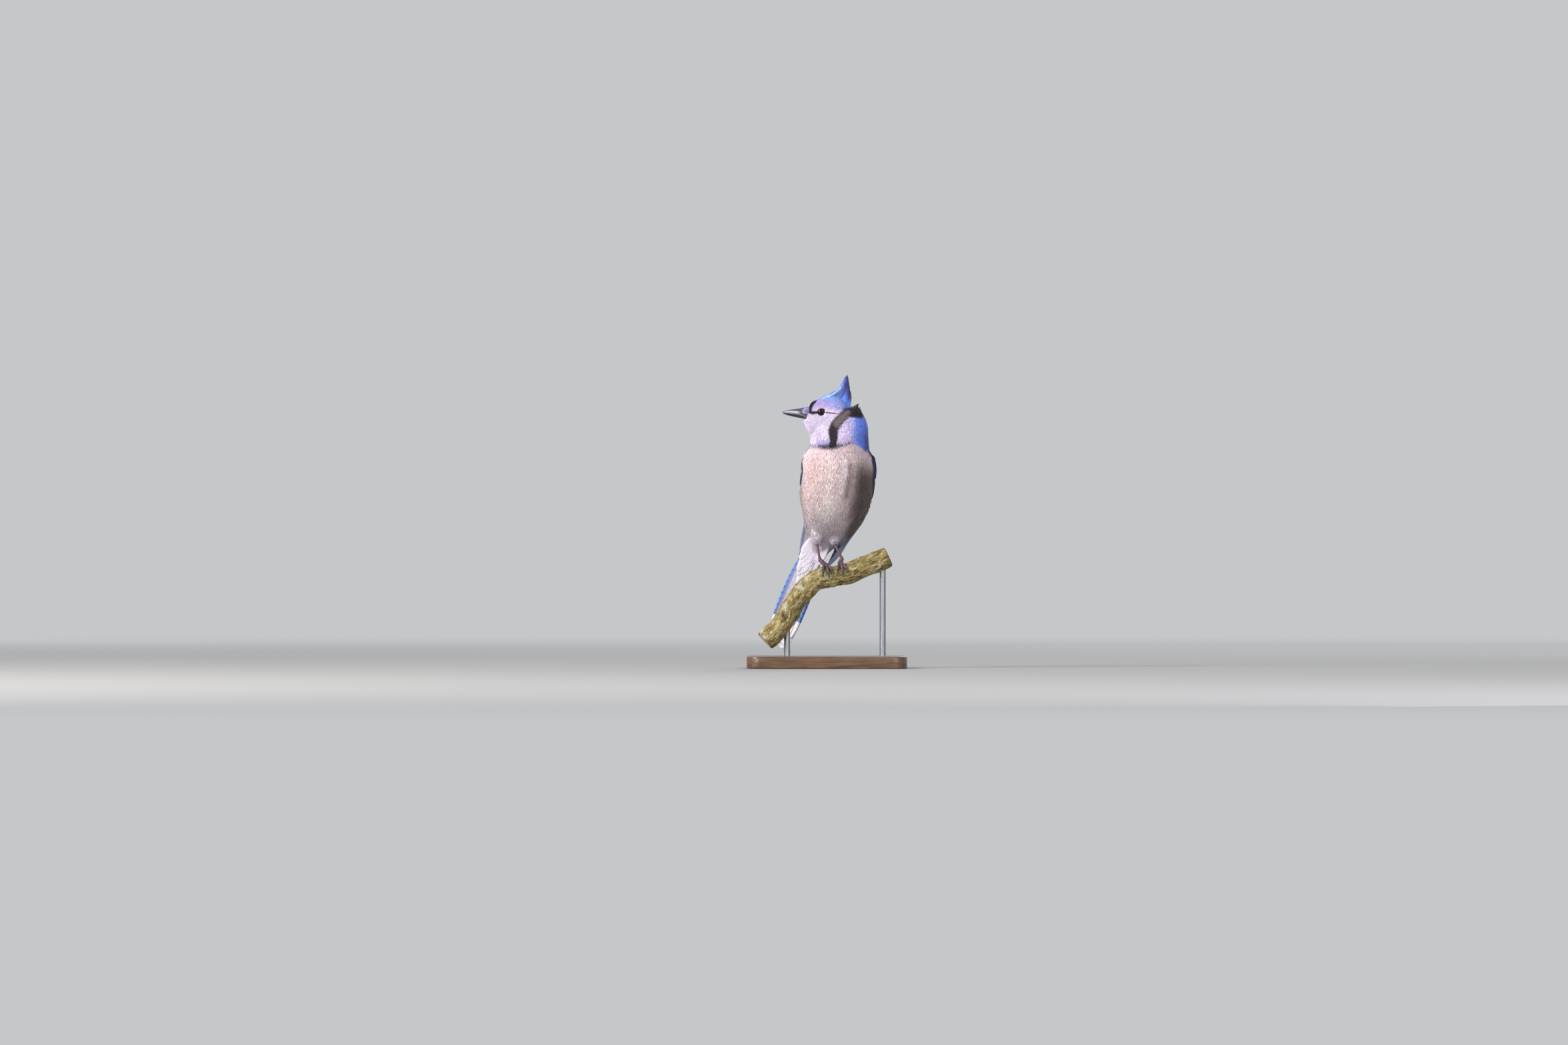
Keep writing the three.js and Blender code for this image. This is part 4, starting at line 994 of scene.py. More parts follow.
@dataclass
class VaneSheets:
    """Many closed vanes as arrays: n vanes of k stations, each with r points round it."""

    points: Array
    vane: Array
    pigment: Array
    marks: Array | None = None
    patch: Array | None = None

    @staticmethod
    def lofted(
        middle: Array,
        across: Array,
        up: Array,
        width: Array,
        thick: Array,
        ring: Array,
    ) -> Array:
        """Points of vanes lofted along their middle lines, n by k by r by 3.

        Args:
            middle: Middle lines, n by k by 3.
            across: Directions across the vanes, n by k by 3.
            up: Directions out of the vanes, n by k by 3.
            width: Full widths, n by k.
            thick: Full thicknesses, n by k.
            ring: Share of the half width, share of the thickness and camber as a share of the width, r by 3.
        """
        aside = width[..., None] * ring[:, 0] / 2
        height = thick[..., None] * ring[:, 1] + width[..., None] * ring[:, 2]
        return middle[:, :, None] + across[:, :, None] * aside[..., None] + up[:, :, None] * height[..., None]

    @staticmethod
    def spots(ring: Array, along: Array, points: Array) -> Array:
        """The share across a vane and the place along it, for each point of vanes of one kind."""
        across, along = (ring[:, 0] + 1) / 2, along[:, None]
        return np.stack([np.broadcast_to(part, points.shape[:3]) for part in (across, along)], axis=-1)

    def build(self, name: str) -> Object:
        """Writes all the vanes into one mesh."""
        count, stations, around, _ = self.points.shape
        grid = np.arange(count * stations * around).reshape(count, stations, around)
        turned = np.roll(grid, -1, axis=2)
        quads = np.stack([grid[:, :-1], turned[:, :-1], turned[:, 1:], grid[:, 1:]], axis=-1).reshape(-1, 4)
        caps = np.concatenate([grid[:, 0, ::-1], grid[:, -1]])
        flat = self.points.reshape(-1, 3) * MM
        first = flat[quads[: (stations - 1) * around]]
        turn = np.cross(first[:, 1] - first[:, 0], first[:, 2] - first[:, 0])
        outward = (turn * (first.mean(1) - flat[: stations * around].mean(0))).sum()
        if outward < 0:
            quads, caps = quads[:, ::-1], caps[:, ::-1]
        corners = np.concatenate([quads.ravel(), caps.ravel()])
        starts = np.concatenate([np.arange(len(quads)) * 4, quads.size + np.arange(len(caps)) * around])

        mesh = bpy.data.meshes.new(name)
        mesh.vertices.add(len(flat))
        mesh.vertices.foreach_set("co", flat.astype(np.float32).ravel())
        mesh.loops.add(len(corners))
        mesh.loops.foreach_set("vertex_index", corners.astype(np.int32))
        mesh.polygons.add(len(starts))
        mesh.polygons.foreach_set("loop_start", starts.astype(np.int32))
        mesh.update(calc_edges=True)
        self._map(mesh, "Vane", self.vane.reshape(-1, 2)[corners])
        if self.patch is not None:
            self._map(mesh, "OFBake", self.patch.reshape(-1, 2)[corners])
        paint(mesh, "pigment", self.pigment.reshape(-1, 3))
        if self.marks is not None:
            paint(mesh, "marks", self.marks.reshape(-1, 4))
        return linked(bpy.data.objects.new(name, mesh))

    @staticmethod
    def _map(mesh: bpy.types.Mesh, name: str, places: Array) -> None:
        """Adds a UV map with a place for each corner."""
        layer = mesh.uv_layers.new(name=name)
        layer.uv.foreach_set("vector", places.astype(np.float32).ravel())


def paint(mesh: bpy.types.Mesh, name: str, colours: Array) -> None:
    """Stores a colour for each vertex, with an alpha of one where none is given."""
    if colours.shape[1] == 3:
        colours = np.column_stack([colours, np.ones(len(colours))])
    layer = mesh.attributes.new(name, "FLOAT_COLOR", "POINT")
    layer.data.foreach_set("color", np.ascontiguousarray(colours, np.float32).ravel())


@dataclass
class Eyes:
    """Eyes with a ring of lids, set in sockets of the skin."""

    x: float = -5.2
    z: float = 249.7
    from_middle: float = 9.0
    radius: float = 5.0
    opening_wide: float = 3.5
    opening_high: float = 3.05
    lid_width: float = 1.4
    markings: Markings = field(default_factory=Markings)
    rim_colour: str = "#2A1C22"
    # Share that darkens the lids' markings: painted shade, so the bare lids look no brighter than the
    # feathered face.
    lid_painted_shade: float = 0.8

    def centre(self, hand: Hand) -> Array:
        """The middle of an eye. The bird's right eye is on the far side, towards +Y."""
        return np.array([self.x, HEAD_Y - hand.value * self.from_middle, self.z])

    def build(self) -> None:
        """Makes both eyes and their lids."""
        for hand in Hand:
            self._ball(hand)
            self._lids(hand)

    def _ball(self, hand: Hand) -> None:
        """Makes one eyeball, with its poles on the eye's axis."""
        middle = self.centre(hand)
        eye = finished(f"eyeball_{hand.word}", ball(middle, self.radius, (48, 32), turn=math.pi / 2))
        finish = WetEye(f"wet eye {hand.word}", tuple(float(part) for part in middle))
        keep_piece(eye, finish.build(), "eye", f"eye_{hand.word}")

    def _lids(self, hand: Hand) -> None:
        """Makes both lids as one thin ring that follows the eyeball, dark at its rim, with the face's
        markings darkened on it as painted shade.
        """
        middle = self.centre(hand)

        def place(round_rim: Array, round_ring: Array) -> Array:
            """Points of the rim: round its own section, and round the opening."""
            turn, roll = round_ring * FULL_TURN, round_rim * FULL_TURN
            out = 0.5 - 0.5 * np.cos(roll)
            pinch = 1 + 0.14 * np.abs(np.cos(turn)) ** 6 * (1 - out)
            aside = np.cos(turn) * (self.opening_wide * pinch + self.lid_width * out)
            rise = np.sin(turn) * (self.opening_high + self.lid_width * out)
            lift = self.radius + 0.24 + 0.2 * np.sin(roll)
            depth = np.sqrt(np.maximum(lift**2 - aside**2 - rise**2, 0.2))
            return middle + np.stack([aside, -hand.value * depth, rise + 0.04 * aside], axis=-1)

        rim = bent_grid(f"eyelids_{hand.word}", 20, 72, place)
        points = points_of(rim)
        aside, above = points[:, 0] - self.x, points[:, 2] - self.z
        away = np.hypot(aside / self.opening_wide, above / self.opening_high)
        # Painted shade: the lids' markings are darkened.
        lid = self.markings.colours(points) * self.lid_painted_shade
        paint(rim.data, "pigment", mix(linear(self.rim_colour), lid, ease((away - 1.15) / 0.12)[:, None]))
        keep_piece(rim, DownyPlumage("downy eyelid", barb_count=40.0, streak=0.12).build(), "head_feathers")


@dataclass
class Skin:
    """One skin from the bill to the tail's root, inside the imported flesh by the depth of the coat."""

    eyes: Eyes
    legs: "Legs"
    wings: "Wings"
    markings: Markings
    voxel: float = 1.1
    smoothing: int = 5
    # Depth of the coat: distance along the axis, and depth there.
    coat_depth: tuple[tuple[float, float], ...] = (
        (2, 0.9), (24, 1.3), (45, 1.9), (120, 2.0), (150, 1.2), (167, 0.5),
    )
    head_depth: float = 0.75
    tree: BVHTree = field(init=False)
    corners: Array = field(init=False)
    points: Array = field(init=False)
    normals: Array = field(init=False)

    def build(self) -> None:
        """Joins trunk, head, arms and thighs into one closed skin and paints it."""
        skin = joined("skin", [self._trunk(), self._head(), *self.wings.arms(), *self.legs.thighs()])
        remesh = skin.modifiers.new("one_surface", "REMESH")
        remesh.mode = "VOXEL"
        remesh.voxel_size = self.voxel * MM
        smooth = skin.modifiers.new("relax", "SMOOTH")
        smooth.factor = 0.5
        smooth.iterations = self.smoothing
        settle(skin)
        room = (self.eyes.radius + 0.12) * MM
        sockets = []
        for hand in Hand:
            sockets.append(bmesh.new())
            bmesh.ops.create_icosphere(sockets[-1], subdivisions=4, radius=room)
            bmesh.ops.translate(sockets[-1], verts=sockets[-1].verts, vec=Vector(self.eyes.centre(hand) * MM))
        cut_out(skin, sockets)
        mesh = skin.data
        self.points = points_of(skin)
        paint(mesh, "pigment", self.markings.colours(self.points))
        for polygon in mesh.polygons:
            polygon.use_smooth = True
        nodes = ("head", "neck", "torso", "thigh_left", "thigh_right")
        keep_piece(skin, SkinUnderPlumage("skin and underdown").build(), "breast_feathers", *nodes)
        mesh.calc_loop_triangles()
        self.corners = np.array([face.vertices for face in mesh.loop_triangles])
        self.normals = np.array([vert.normal for vert in mesh.vertices], np.float32)
        self.tree = BVHTree.FromPolygons(self.points.tolist(), self.corners.tolist(), all_triangles=True)

    def _trunk(self) -> Object:
        """Makes the trunk with the root of the tail."""

        def place(turn: Array, along: Array) -> Array:
            """Points of the trunk under its coat."""
            at = mix(TRUNK[0][0], TRUNK[-1][0], along)
            return trunk_point(at, turn * FULL_TURN, -read(self.coat_depth, at))

        return bent_grid("trunk_form", 56, 110, place)

    def _head(self) -> Object:
        """Makes the head."""

        def place(turn: Array, along: Array) -> Array:
            """Points of the head under its coat."""
            return head_point(mix(HEAD[0][0], HEAD[-1][0], along), turn * FULL_TURN, -self.head_depth)

        return bent_grid("head_form", 48, 50, place)

    def nearest(self, points: Array) -> tuple[Array, Array]:
        """The nearest places on the skin and the directions out of it there."""
        found = [self.tree.find_nearest(point)[:2] for point in points.reshape(-1, 3).tolist()]
        place, out = (np.array(part).reshape(points.shape) for part in zip(*found))
        return place, out


def in_map(places: Array) -> Array:
    """Places on the skin's unwrap, from 0 to 1, kept a little inside the borders of the bake map."""
    return np.clip(places, 0, 1) * 0.98 + 0.01


@dataclass(frozen=True)
class TuftCut:
    """How a small feather is cut: its stations along it and the points round it."""

    along: tuple[float, ...]
    width: tuple[float, ...]
    height: tuple[float, ...]
    ring: tuple[tuple[float, float, float], ...]


CONTOUR_CUT = TuftCut(
    (0.0, 0.35, 0.7, 0.92, 1.0),
    (0.42, 0.94, 1.0, 0.66, 0.14),
    (-0.25, 0.35, 0.72, 0.92, 1.0),
    ((-1, 0, -0.11), (0, 0.5, 0), (1, 0, -0.11), (0, -0.5, 0)),
)
BARB_CUT = TuftCut(
    (0.0, 0.5, 1.0), (0.8, 1.0, 0.12), (0.1, 0.72, 1.0), ((-1, 0, 0), (0, 1, 0), (1, 0, 0))
)


@dataclass
class Sites:
    """Places where tufts grow, with the lie of the coat and its sizes there."""

    root: Array
    out: Array
    lie: Array
    length: Array
    lift: Array
    patch: Array
    tint: Array

    def some(self, chosen: Array) -> "Sites":
        """The chosen sites alone."""
        return Sites(*(getattr(self, name)[chosen] for name in self.__dataclass_fields__))


@dataclass
class Coat:
    """Contour feathers and loose barbs over the skin, in the lie of the plumage."""

    skin: Skin
    wings: "Wings"
    legs: "Legs"
    markings: Markings
    bill_root: tuple[float, float, float] = (-22.0, -18.0, 248.0)
    crest_root: tuple[float, float, float] = (21.0, -18.0, 274.0)
    # Feather length by distance from the root of the bill, and by distance along the body.
    head_length: tuple[tuple[float, float], ...] = ((0, 1.7), (7, 2.3), (18, 3.4), (32, 4.6), (48, 6.4))
    body_length: tuple[tuple[float, float], ...] = (
        (14, 6), (30, 7.2), (45, 9), (70, 10.5), (100, 12), (120, 12.5), (136, 13), (155, 11),
    )
    contour_width: float = 0.52
    contour_spacing: float = 0.27
    contour_thickness: float = 0.018
    barb_width: float = 0.46
    barb_share: float = 0.72
    barbs: int = 78000
    tail_end: float = 158.0
    flank_swell: float = 3.2
    contour_lift: float = 0.62

    def build(self) -> None:
        """Grows the coat and keeps it in pieces by region."""
        chance = np.random.default_rng(SEED)
        contour = self._grown(chance, self._spread(chance))
        barbs = self._grown(chance, self._scattered(chance))
        finish = DownyPlumage("downy contour feathers", streak=0.12).build()
        fine = DownyPlumage("loose barbs", barb_count=3.0, streak=0.07).build()
        for region, chosen in self._regions(contour.root).items():
            self._piece(f"feathers_{region}", contour.some(chosen), CONTOUR_CUT, chance, finish)
        for region, chosen in self._regions(barbs.root).items():
            self._piece(f"barbs_{region}", barbs.some(chosen), BARB_CUT, chance, fine)

    def _length(self, points: Array) -> Array:
        """Length of the feathers at points of the skin."""
        away = np.linalg.norm(points - self.bill_root, axis=1)
        on_head = read(self.head_length, away)
        on_body = read(self.body_length, BodyPlaces.of(points).at)
        length = mix(on_body, on_head, ease((points[:, 2] - 222) / 18))
        eye = np.min([np.linalg.norm(points - self._eye_front(hand), axis=1) for hand in Hand], axis=0)
        length = length * mix(0.42, 1.0, ease((eye - 3.5) / 8))
        ankle = np.min([np.linalg.norm(points - leg.ankle, axis=1) for leg in self.legs.both()], axis=0)
        return length * mix(0.35, 1.0, ease((ankle - 4) / 14))

    def _eye_front(self, hand: Hand) -> Array:
        """The front of an eyeball."""
        eyes = self.skin.eyes
        return eyes.centre(hand) - np.array([0, hand.value * eyes.radius, 0])

    def _candidates(
        self, chance: np.random.Generator, count: int, power: float
    ) -> tuple[Array, Array]:
        """Random places on the skin, closer together where the feathers are short."""
        corners = self.skin.points[self.skin.corners]
        area = np.linalg.norm(np.cross(corners[:, 1] - corners[:, 0], corners[:, 2] - corners[:, 0]), axis=1)
        crowd = area / self._length(corners.mean(1)) ** power
        face = np.sort(chance.choice(len(corners), size=count, p=crowd / crowd.sum()))
        first, second = chance.random((2, count, 1))
        flip = first + second > 1
        first, second = np.where(flip, 1 - first, first), np.where(flip, 1 - second, second)
        shares = np.stack([1 - first - second, first, second], axis=1)
        root = (corners[face] * shares).sum(1)
        out = unit((self.skin.normals[self.skin.corners[face]] * shares).sum(1))
        bare = self._bare(root)
        return root[~bare], out[~bare]

    def _bare(self, points: Array) -> Array:
        """Places that carry no coat: the eyes' openings, under the wings, and past the tail's root."""
        eyes = self.skin.eyes
        wide, high = eyes.opening_wide + 0.9, eyes.opening_high + 0.9
        eye = np.hypot((points[:, 0] - eyes.x) / wide, (points[:, 2] - eyes.z) / high)
        bare = (eye < 1.04) & (np.abs(points[:, 1] - HEAD_Y) > 6)
        places = BodyPlaces.of(points)
        bare |= places.at > self.tail_end
        return bare | self.wings.covers(places)

    def _spread(self, chance: np.random.Generator) -> tuple[Array, Array]:
        """Evenly spread places, a part of a feather's length from one another."""
        root, out = self._candidates(chance, 90_000, 2.0)
        room = self._length(root) * self.contour_spacing
        tree = KDTree(len(root))
        for index, point in enumerate(root.tolist()):
            tree.insert(point, index)
        tree.balance()
        free = np.ones(len(root), bool)
        kept = []
        for index in chance.permutation(len(root)).tolist():
            if free[index]:
                kept.append(index)
                near = [found[1] for found in tree.find_range(root[index], room[index])]
                free[near] = False
        kept = np.sort(kept)
        return root[kept], out[kept]

    def _scattered(self, chance: np.random.Generator) -> tuple[Array, Array]:
        """Places for the loose barbs."""
        return self._candidates(chance, self.barbs, 1.15)

    def _lie(self, root: Array, out: Array, places: BodyPlaces) -> Array:
        """Directions that the feathers point in, along the skin."""
        down = body_frame(places.at)[1]
        from_bill = unit(root - self.bill_root) + np.array([0.0, 0.0, -0.22])
        lie = mix(down, from_bill, ease((root[:, 2] - 226) / 16)[:, None])
        to_crest = unit(self.crest_root - root)
        crown = ease((root[:, 2] - 256) / 7) * ease((21 - root[:, 0]) / 8)
        lie = lie + to_crest * crown[:, None] * 0.9
        for leg in self.legs.both():
            lie = mix(lie, unit(leg.ankle - leg.hip)[None], leg.closeness(root)[:, None])
        eyes = self.skin.eyes
        spoke = np.stack([root[:, 0] - eyes.x, np.zeros(len(root)), root[:, 2] - eyes.z], axis=-1)
        near = ease((8.5 - np.linalg.norm(spoke, axis=1)) / 4.5) * (np.abs(root[:, 1] - HEAD_Y) > 5)
        spoke = unit(spoke)
        inward = np.minimum((lie * spoke).sum(1), 0)
        lie = lie + spoke * ((0.5 - inward) * near)[:, None]
        return unit(lie - out * (lie * out).sum(1, keepdims=True))

    def _grown(self, chance: np.random.Generator, spread: tuple[Array, Array]) -> Sites:
        """Gives places their lie, sizes, colours and patches of the bake map."""
        root, out = spread
        places = BodyPlaces.of(root)
        lie = self._lie(root, out, places)
        sway = chance.normal(0, math.radians(7), len(root))[:, None]
        lie = unit(lie * np.cos(sway) + np.cross(out, lie) * np.sin(sway))
        length = self._length(root)
        depth = read(self.skin.coat_depth, places.at)
        lift = mix(depth, self.skin.head_depth, ease((root[:, 2] - 226) / 14))
        lift = lift * np.clip(length / 3.2, 0.35, 1.0)
        lap, over = self.wings.lap(places)
        lift = lift + self.flank_swell * lap
        lie = unit(lie + over * (0.22 * lap)[:, None])
        tint = 1 + chance.normal(0, 0.045, len(root))
        head = root[:, 2] > 236
        around = np.arctan2(root[:, 2] - 248, root[:, 1] - HEAD_Y)
        turn = np.where(head, around, places.angle) / FULL_TURN + 0.5
        along = np.where(head, (root[:, 0] + 26) / 64, (places.at - 4) / 160)
        patch = in_map(np.stack([turn, along], axis=-1))
        return Sites(root, out, lie, length, lift, patch, tint)

    def _regions(self, root: Array) -> dict[str, Array]:
        """Splits sites into named regions of the bird."""
        places = BodyPlaces.of(root)
        x, y, z = root.T
        head = z > 240
        neck = ~head & (places.at < 44)
        rear = ~head & (places.at > 116)
        trunk = ~(head | neck | rear)
        breast = trunk & (places.front > -0.1)
        left = np.cos(places.angle) > 0
        return {
            "face_near": head & (y < HEAD_Y) & (x < 3),
            "nape_near": head & (y < HEAD_Y) & (x >= 3),
            "face_far": head & (y >= HEAD_Y) & (x < 3),
            "nape_far": head & (y >= HEAD_Y) & (x >= 3),
            "neck_near": neck & (y < HEAD_Y),
            "neck_far": neck & (y >= HEAD_Y),
            "breast_left": breast & left,
            "breast_right": breast & ~left,
            "back": trunk & ~breast,
            "vent": rear,
        }

    def _piece(
        self, name: str, sites: Sites, cut: TuftCut, chance: np.random.Generator, finish: bpy.types.Material
    ) -> None:
        """Builds the tufts of one region as one joined mesh."""
        count = len(sites.root)
        along, ring = np.asarray(cut.along), np.asarray(cut.ring, float)
        barb = cut is BARB_CUT
        length = sites.length * (self.barb_share if barb else 1.0) * chance.uniform(0.82, 1.15, count)
        lift = sites.lift * chance.uniform(0.7, 1.1, count) * (1.0 if barb else self.contour_lift)
        steps = sites.root[:, None] + sites.lie[:, None] * (length[:, None] * along)[..., None]
        near, out = self.skin.nearest(steps[:, 1:])
        near = np.concatenate([sites.root[:, None], near], axis=1)
        out = unit(np.concatenate([sites.out[:, None], out], axis=1) + sites.out[:, None])
        middle = near + out * (lift[:, None] * np.asarray(cut.height))[..., None]
        run = unit(np.gradient(middle, axis=1))
        roll = chance.normal(0, math.radians(6), count)[:, None, None]
        across = unit(np.cross(out, run))
        across = unit(across * np.cos(roll) + out * np.sin(roll))
        up = np.cross(run, across)
        if barb:
            full = self.barb_width * np.clip(sites.length / 6, 0.45, 1.1) * chance.uniform(0.7, 1.3, count)
            thick, root_tone, tip_tone = full * 0.35, 0.97, 1.04
        else:
            full = length * self.contour_width * chance.uniform(0.9, 1.12, count)
            thick, root_tone, tip_tone = np.maximum(sites.length * self.contour_thickness, 0.05), 0.86, 1.03
        width = full[:, None] * np.asarray(cut.width)
        points = VaneSheets.lofted(middle, across, up, width, np.repeat(thick[:, None], len(along), 1), ring)
        spots = VaneSheets.spots(ring, along, points)
        vane = spots + chance.random(count)[:, None, None, None] * (7, 3)
        tone = mix(root_tone, tip_tone, along) * sites.tint[:, None]
        colour = self.markings.colours((middle + chance.normal(0, 0.22, middle.shape)).reshape(-1, 3))
        colour = np.clip(colour.reshape(middle.shape) * tone[..., None], 0, 1)
        pigment = np.broadcast_to(colour[:, :, None], points.shape)
        patch = sites.patch[:, None, None] + (spots - 0.5) * PATCH_SIDE
        keep_piece(VaneSheets(points, vane, pigment, patch=patch).build(name), finish, self._slot(name))

    @staticmethod
    def _slot(name: str) -> str:
        """The record's material slot for a region."""
        if "face" in name or "nape" in name:
            return "head_feathers"
        return "neck_feathers" if "neck" in name else "breast_feathers"


@dataclass(frozen=True)
class Tier:
    """One tier of wing feathers, given along the body and across from the wing's lower edge."""

    name: str
    count: int
    root: float
    root_step: float
    tip: float
    tip_step: float
    across: float
    step: float
    width: float
    root_lift: float
    lift: float
    tilt: float
    colour: str
    bars: float = 0.0
    white_tip: float = 0.0
    dusk: float = 0.0
    pitch: float = 5.0


# Widths of a vane along its length, as shares of its full width.
FLIGHT_WIDTHS = (
    (0, 0.3), (0.08, 0.5), (0.3, 0.93), (0.62, 1), (0.84, 0.9), (0.94, 0.68), (0.985, 0.38), (1, 0.1),
)
COVERT_WIDTHS = ((0, 0.45), (0.25, 0.85), (0.6, 1), (0.82, 0.92), (0.94, 0.66), (1, 0.14))
BLADE_WIDTHS = ((0, 0.7), (0.35, 1), (0.7, 0.92), (0.9, 0.62), (0.97, 0.34), (1, 0.06))
# Points round a plume of the head: share across, share of the thickness, camber.
BLADE_RING = ((-1, 0, -0.1), (-0.5, 0.5, -0.03), (0, 0.8, 0), (0.5, 0.5, -0.03), (1, 0, -0.1), (0, -0.5, 0))
# Points round a firm vane, in the same way. The shaft stands up a little.
VANE_RING = (
    (-1, 0, -0.05), (-0.7, 0.5, -0.024), (-0.38, 0.5, -0.007), (-0.28, 1.1, -0.004), (-0.18, 0.5, -0.002),
    (0.3, 0.5, -0.004), (0.7, 0.5, -0.024), (1, 0, -0.05), (0.7, -0.5, -0.024), (0.3, -0.5, -0.004),
    (-0.28, -0.8, -0.004), (-0.7, -0.5, -0.024),
)


@dataclass(frozen=True)
class VaneLook:
    """Shape and colours of one kind of firm vane.

    The marks give the strength of the bars, the length of the white tip in millimetres, the darkness of the
    inner web and the pitch of the bars. The tilt is in radians, the fade is painted shade that makes the root
    darker than the tip where the feather before it laps over it, and the rim is the colour of the underside's
    outer web where it differs.
    """

    width: float
    widths: tuple
    colour: str
    marks: tuple[float, float, float, float]
    tilt: float = 0.0
    fade: float = 0.0
    under: str = "#9A9DB0"
    rim: str = ""


@dataclass
class FlightVanes:
    """Collects firm vanes and builds them as one mesh."""

    stations: int = 22
    thickness: float = 0.26
    under_bars: float = 0.35
    points: list[Array] = field(default_factory=list)
    vane: list[Array] = field(default_factory=list)
    pigment: list[Array] = field(default_factory=list)
    marks: list[Array] = field(default_factory=list)

    def shares(self) -> Array:
        """Stations along a vane, closer together towards its tip."""
        return 1 - (1 - np.linspace(0, 1, self.stations)) ** 1.5

    def add(self, middle: Array, across: Array, look: VaneLook, hand: Hand = Hand.LEFT) -> None:
        """Adds one vane.

        Args:
            middle: Middle line of the vane, in millimetres.
            across: Directions from its outer to its inner edge.
            look: Its shape and colours.
            hand: Side of the body. A vane on the right is the mirror image of one on the left.
        """
        share = self.shares()
        ring = np.asarray(VANE_RING, float)[:: hand.value]
        run = unit(np.gradient(middle, axis=0))
        across = unit(across - run * (across * run).sum(1, keepdims=True))
        up = np.cross(run, across) * hand.value
        turned = unit(across * math.cos(look.tilt) - up * math.sin(look.tilt))
        up = unit(up * math.cos(look.tilt) + across * math.sin(look.tilt))
        width = look.width * sections(look.widths, share)[:, 0]
        thick = self.thickness * mix(1.0, 0.55, share)
        points = VaneSheets.lofted(middle[None], turned[None], up[None], width[None], thick[None], ring)
        length = np.linalg.norm(np.diff(middle, axis=0), axis=1).sum()
        below = ring[:, 1:2] < 0
        pigment = np.where(below, linear(look.under), linear(look.colour))
        if look.rim:
            pigment = np.where(below & (ring[:, :1] < -0.5), linear(look.rim), pigment)
        # Painted shade: the root is darkened by the fade, and the tip made a little lighter.
        pigment = pigment * mix(1 - look.fade, 1 + look.fade * 0.25, share)[:, None, None]
        bars, white, dusk, pitch = look.marks
        marks = np.array([bars, white / MOST_WHITE, dusk, pitch / MOST_PITCH])
        marks = np.where(below, marks * (self.under_bars, 1, 0, 1), marks)
        self.points.append(points)
        self.vane.append(VaneSheets.spots(ring, (1 - share) * length / VANE_MAP, points))
        self.pigment.append(np.clip(pigment, 0, 1)[None])
        self.marks.append(np.broadcast_to(marks, (*points.shape[:3], 4)))

    def build(self, name: str) -> Object:
        """Builds all the vanes as one mesh."""
        parts = map(np.concatenate, (self.points, self.vane, self.pigment, self.marks))
        return VaneSheets(*parts).build(name)


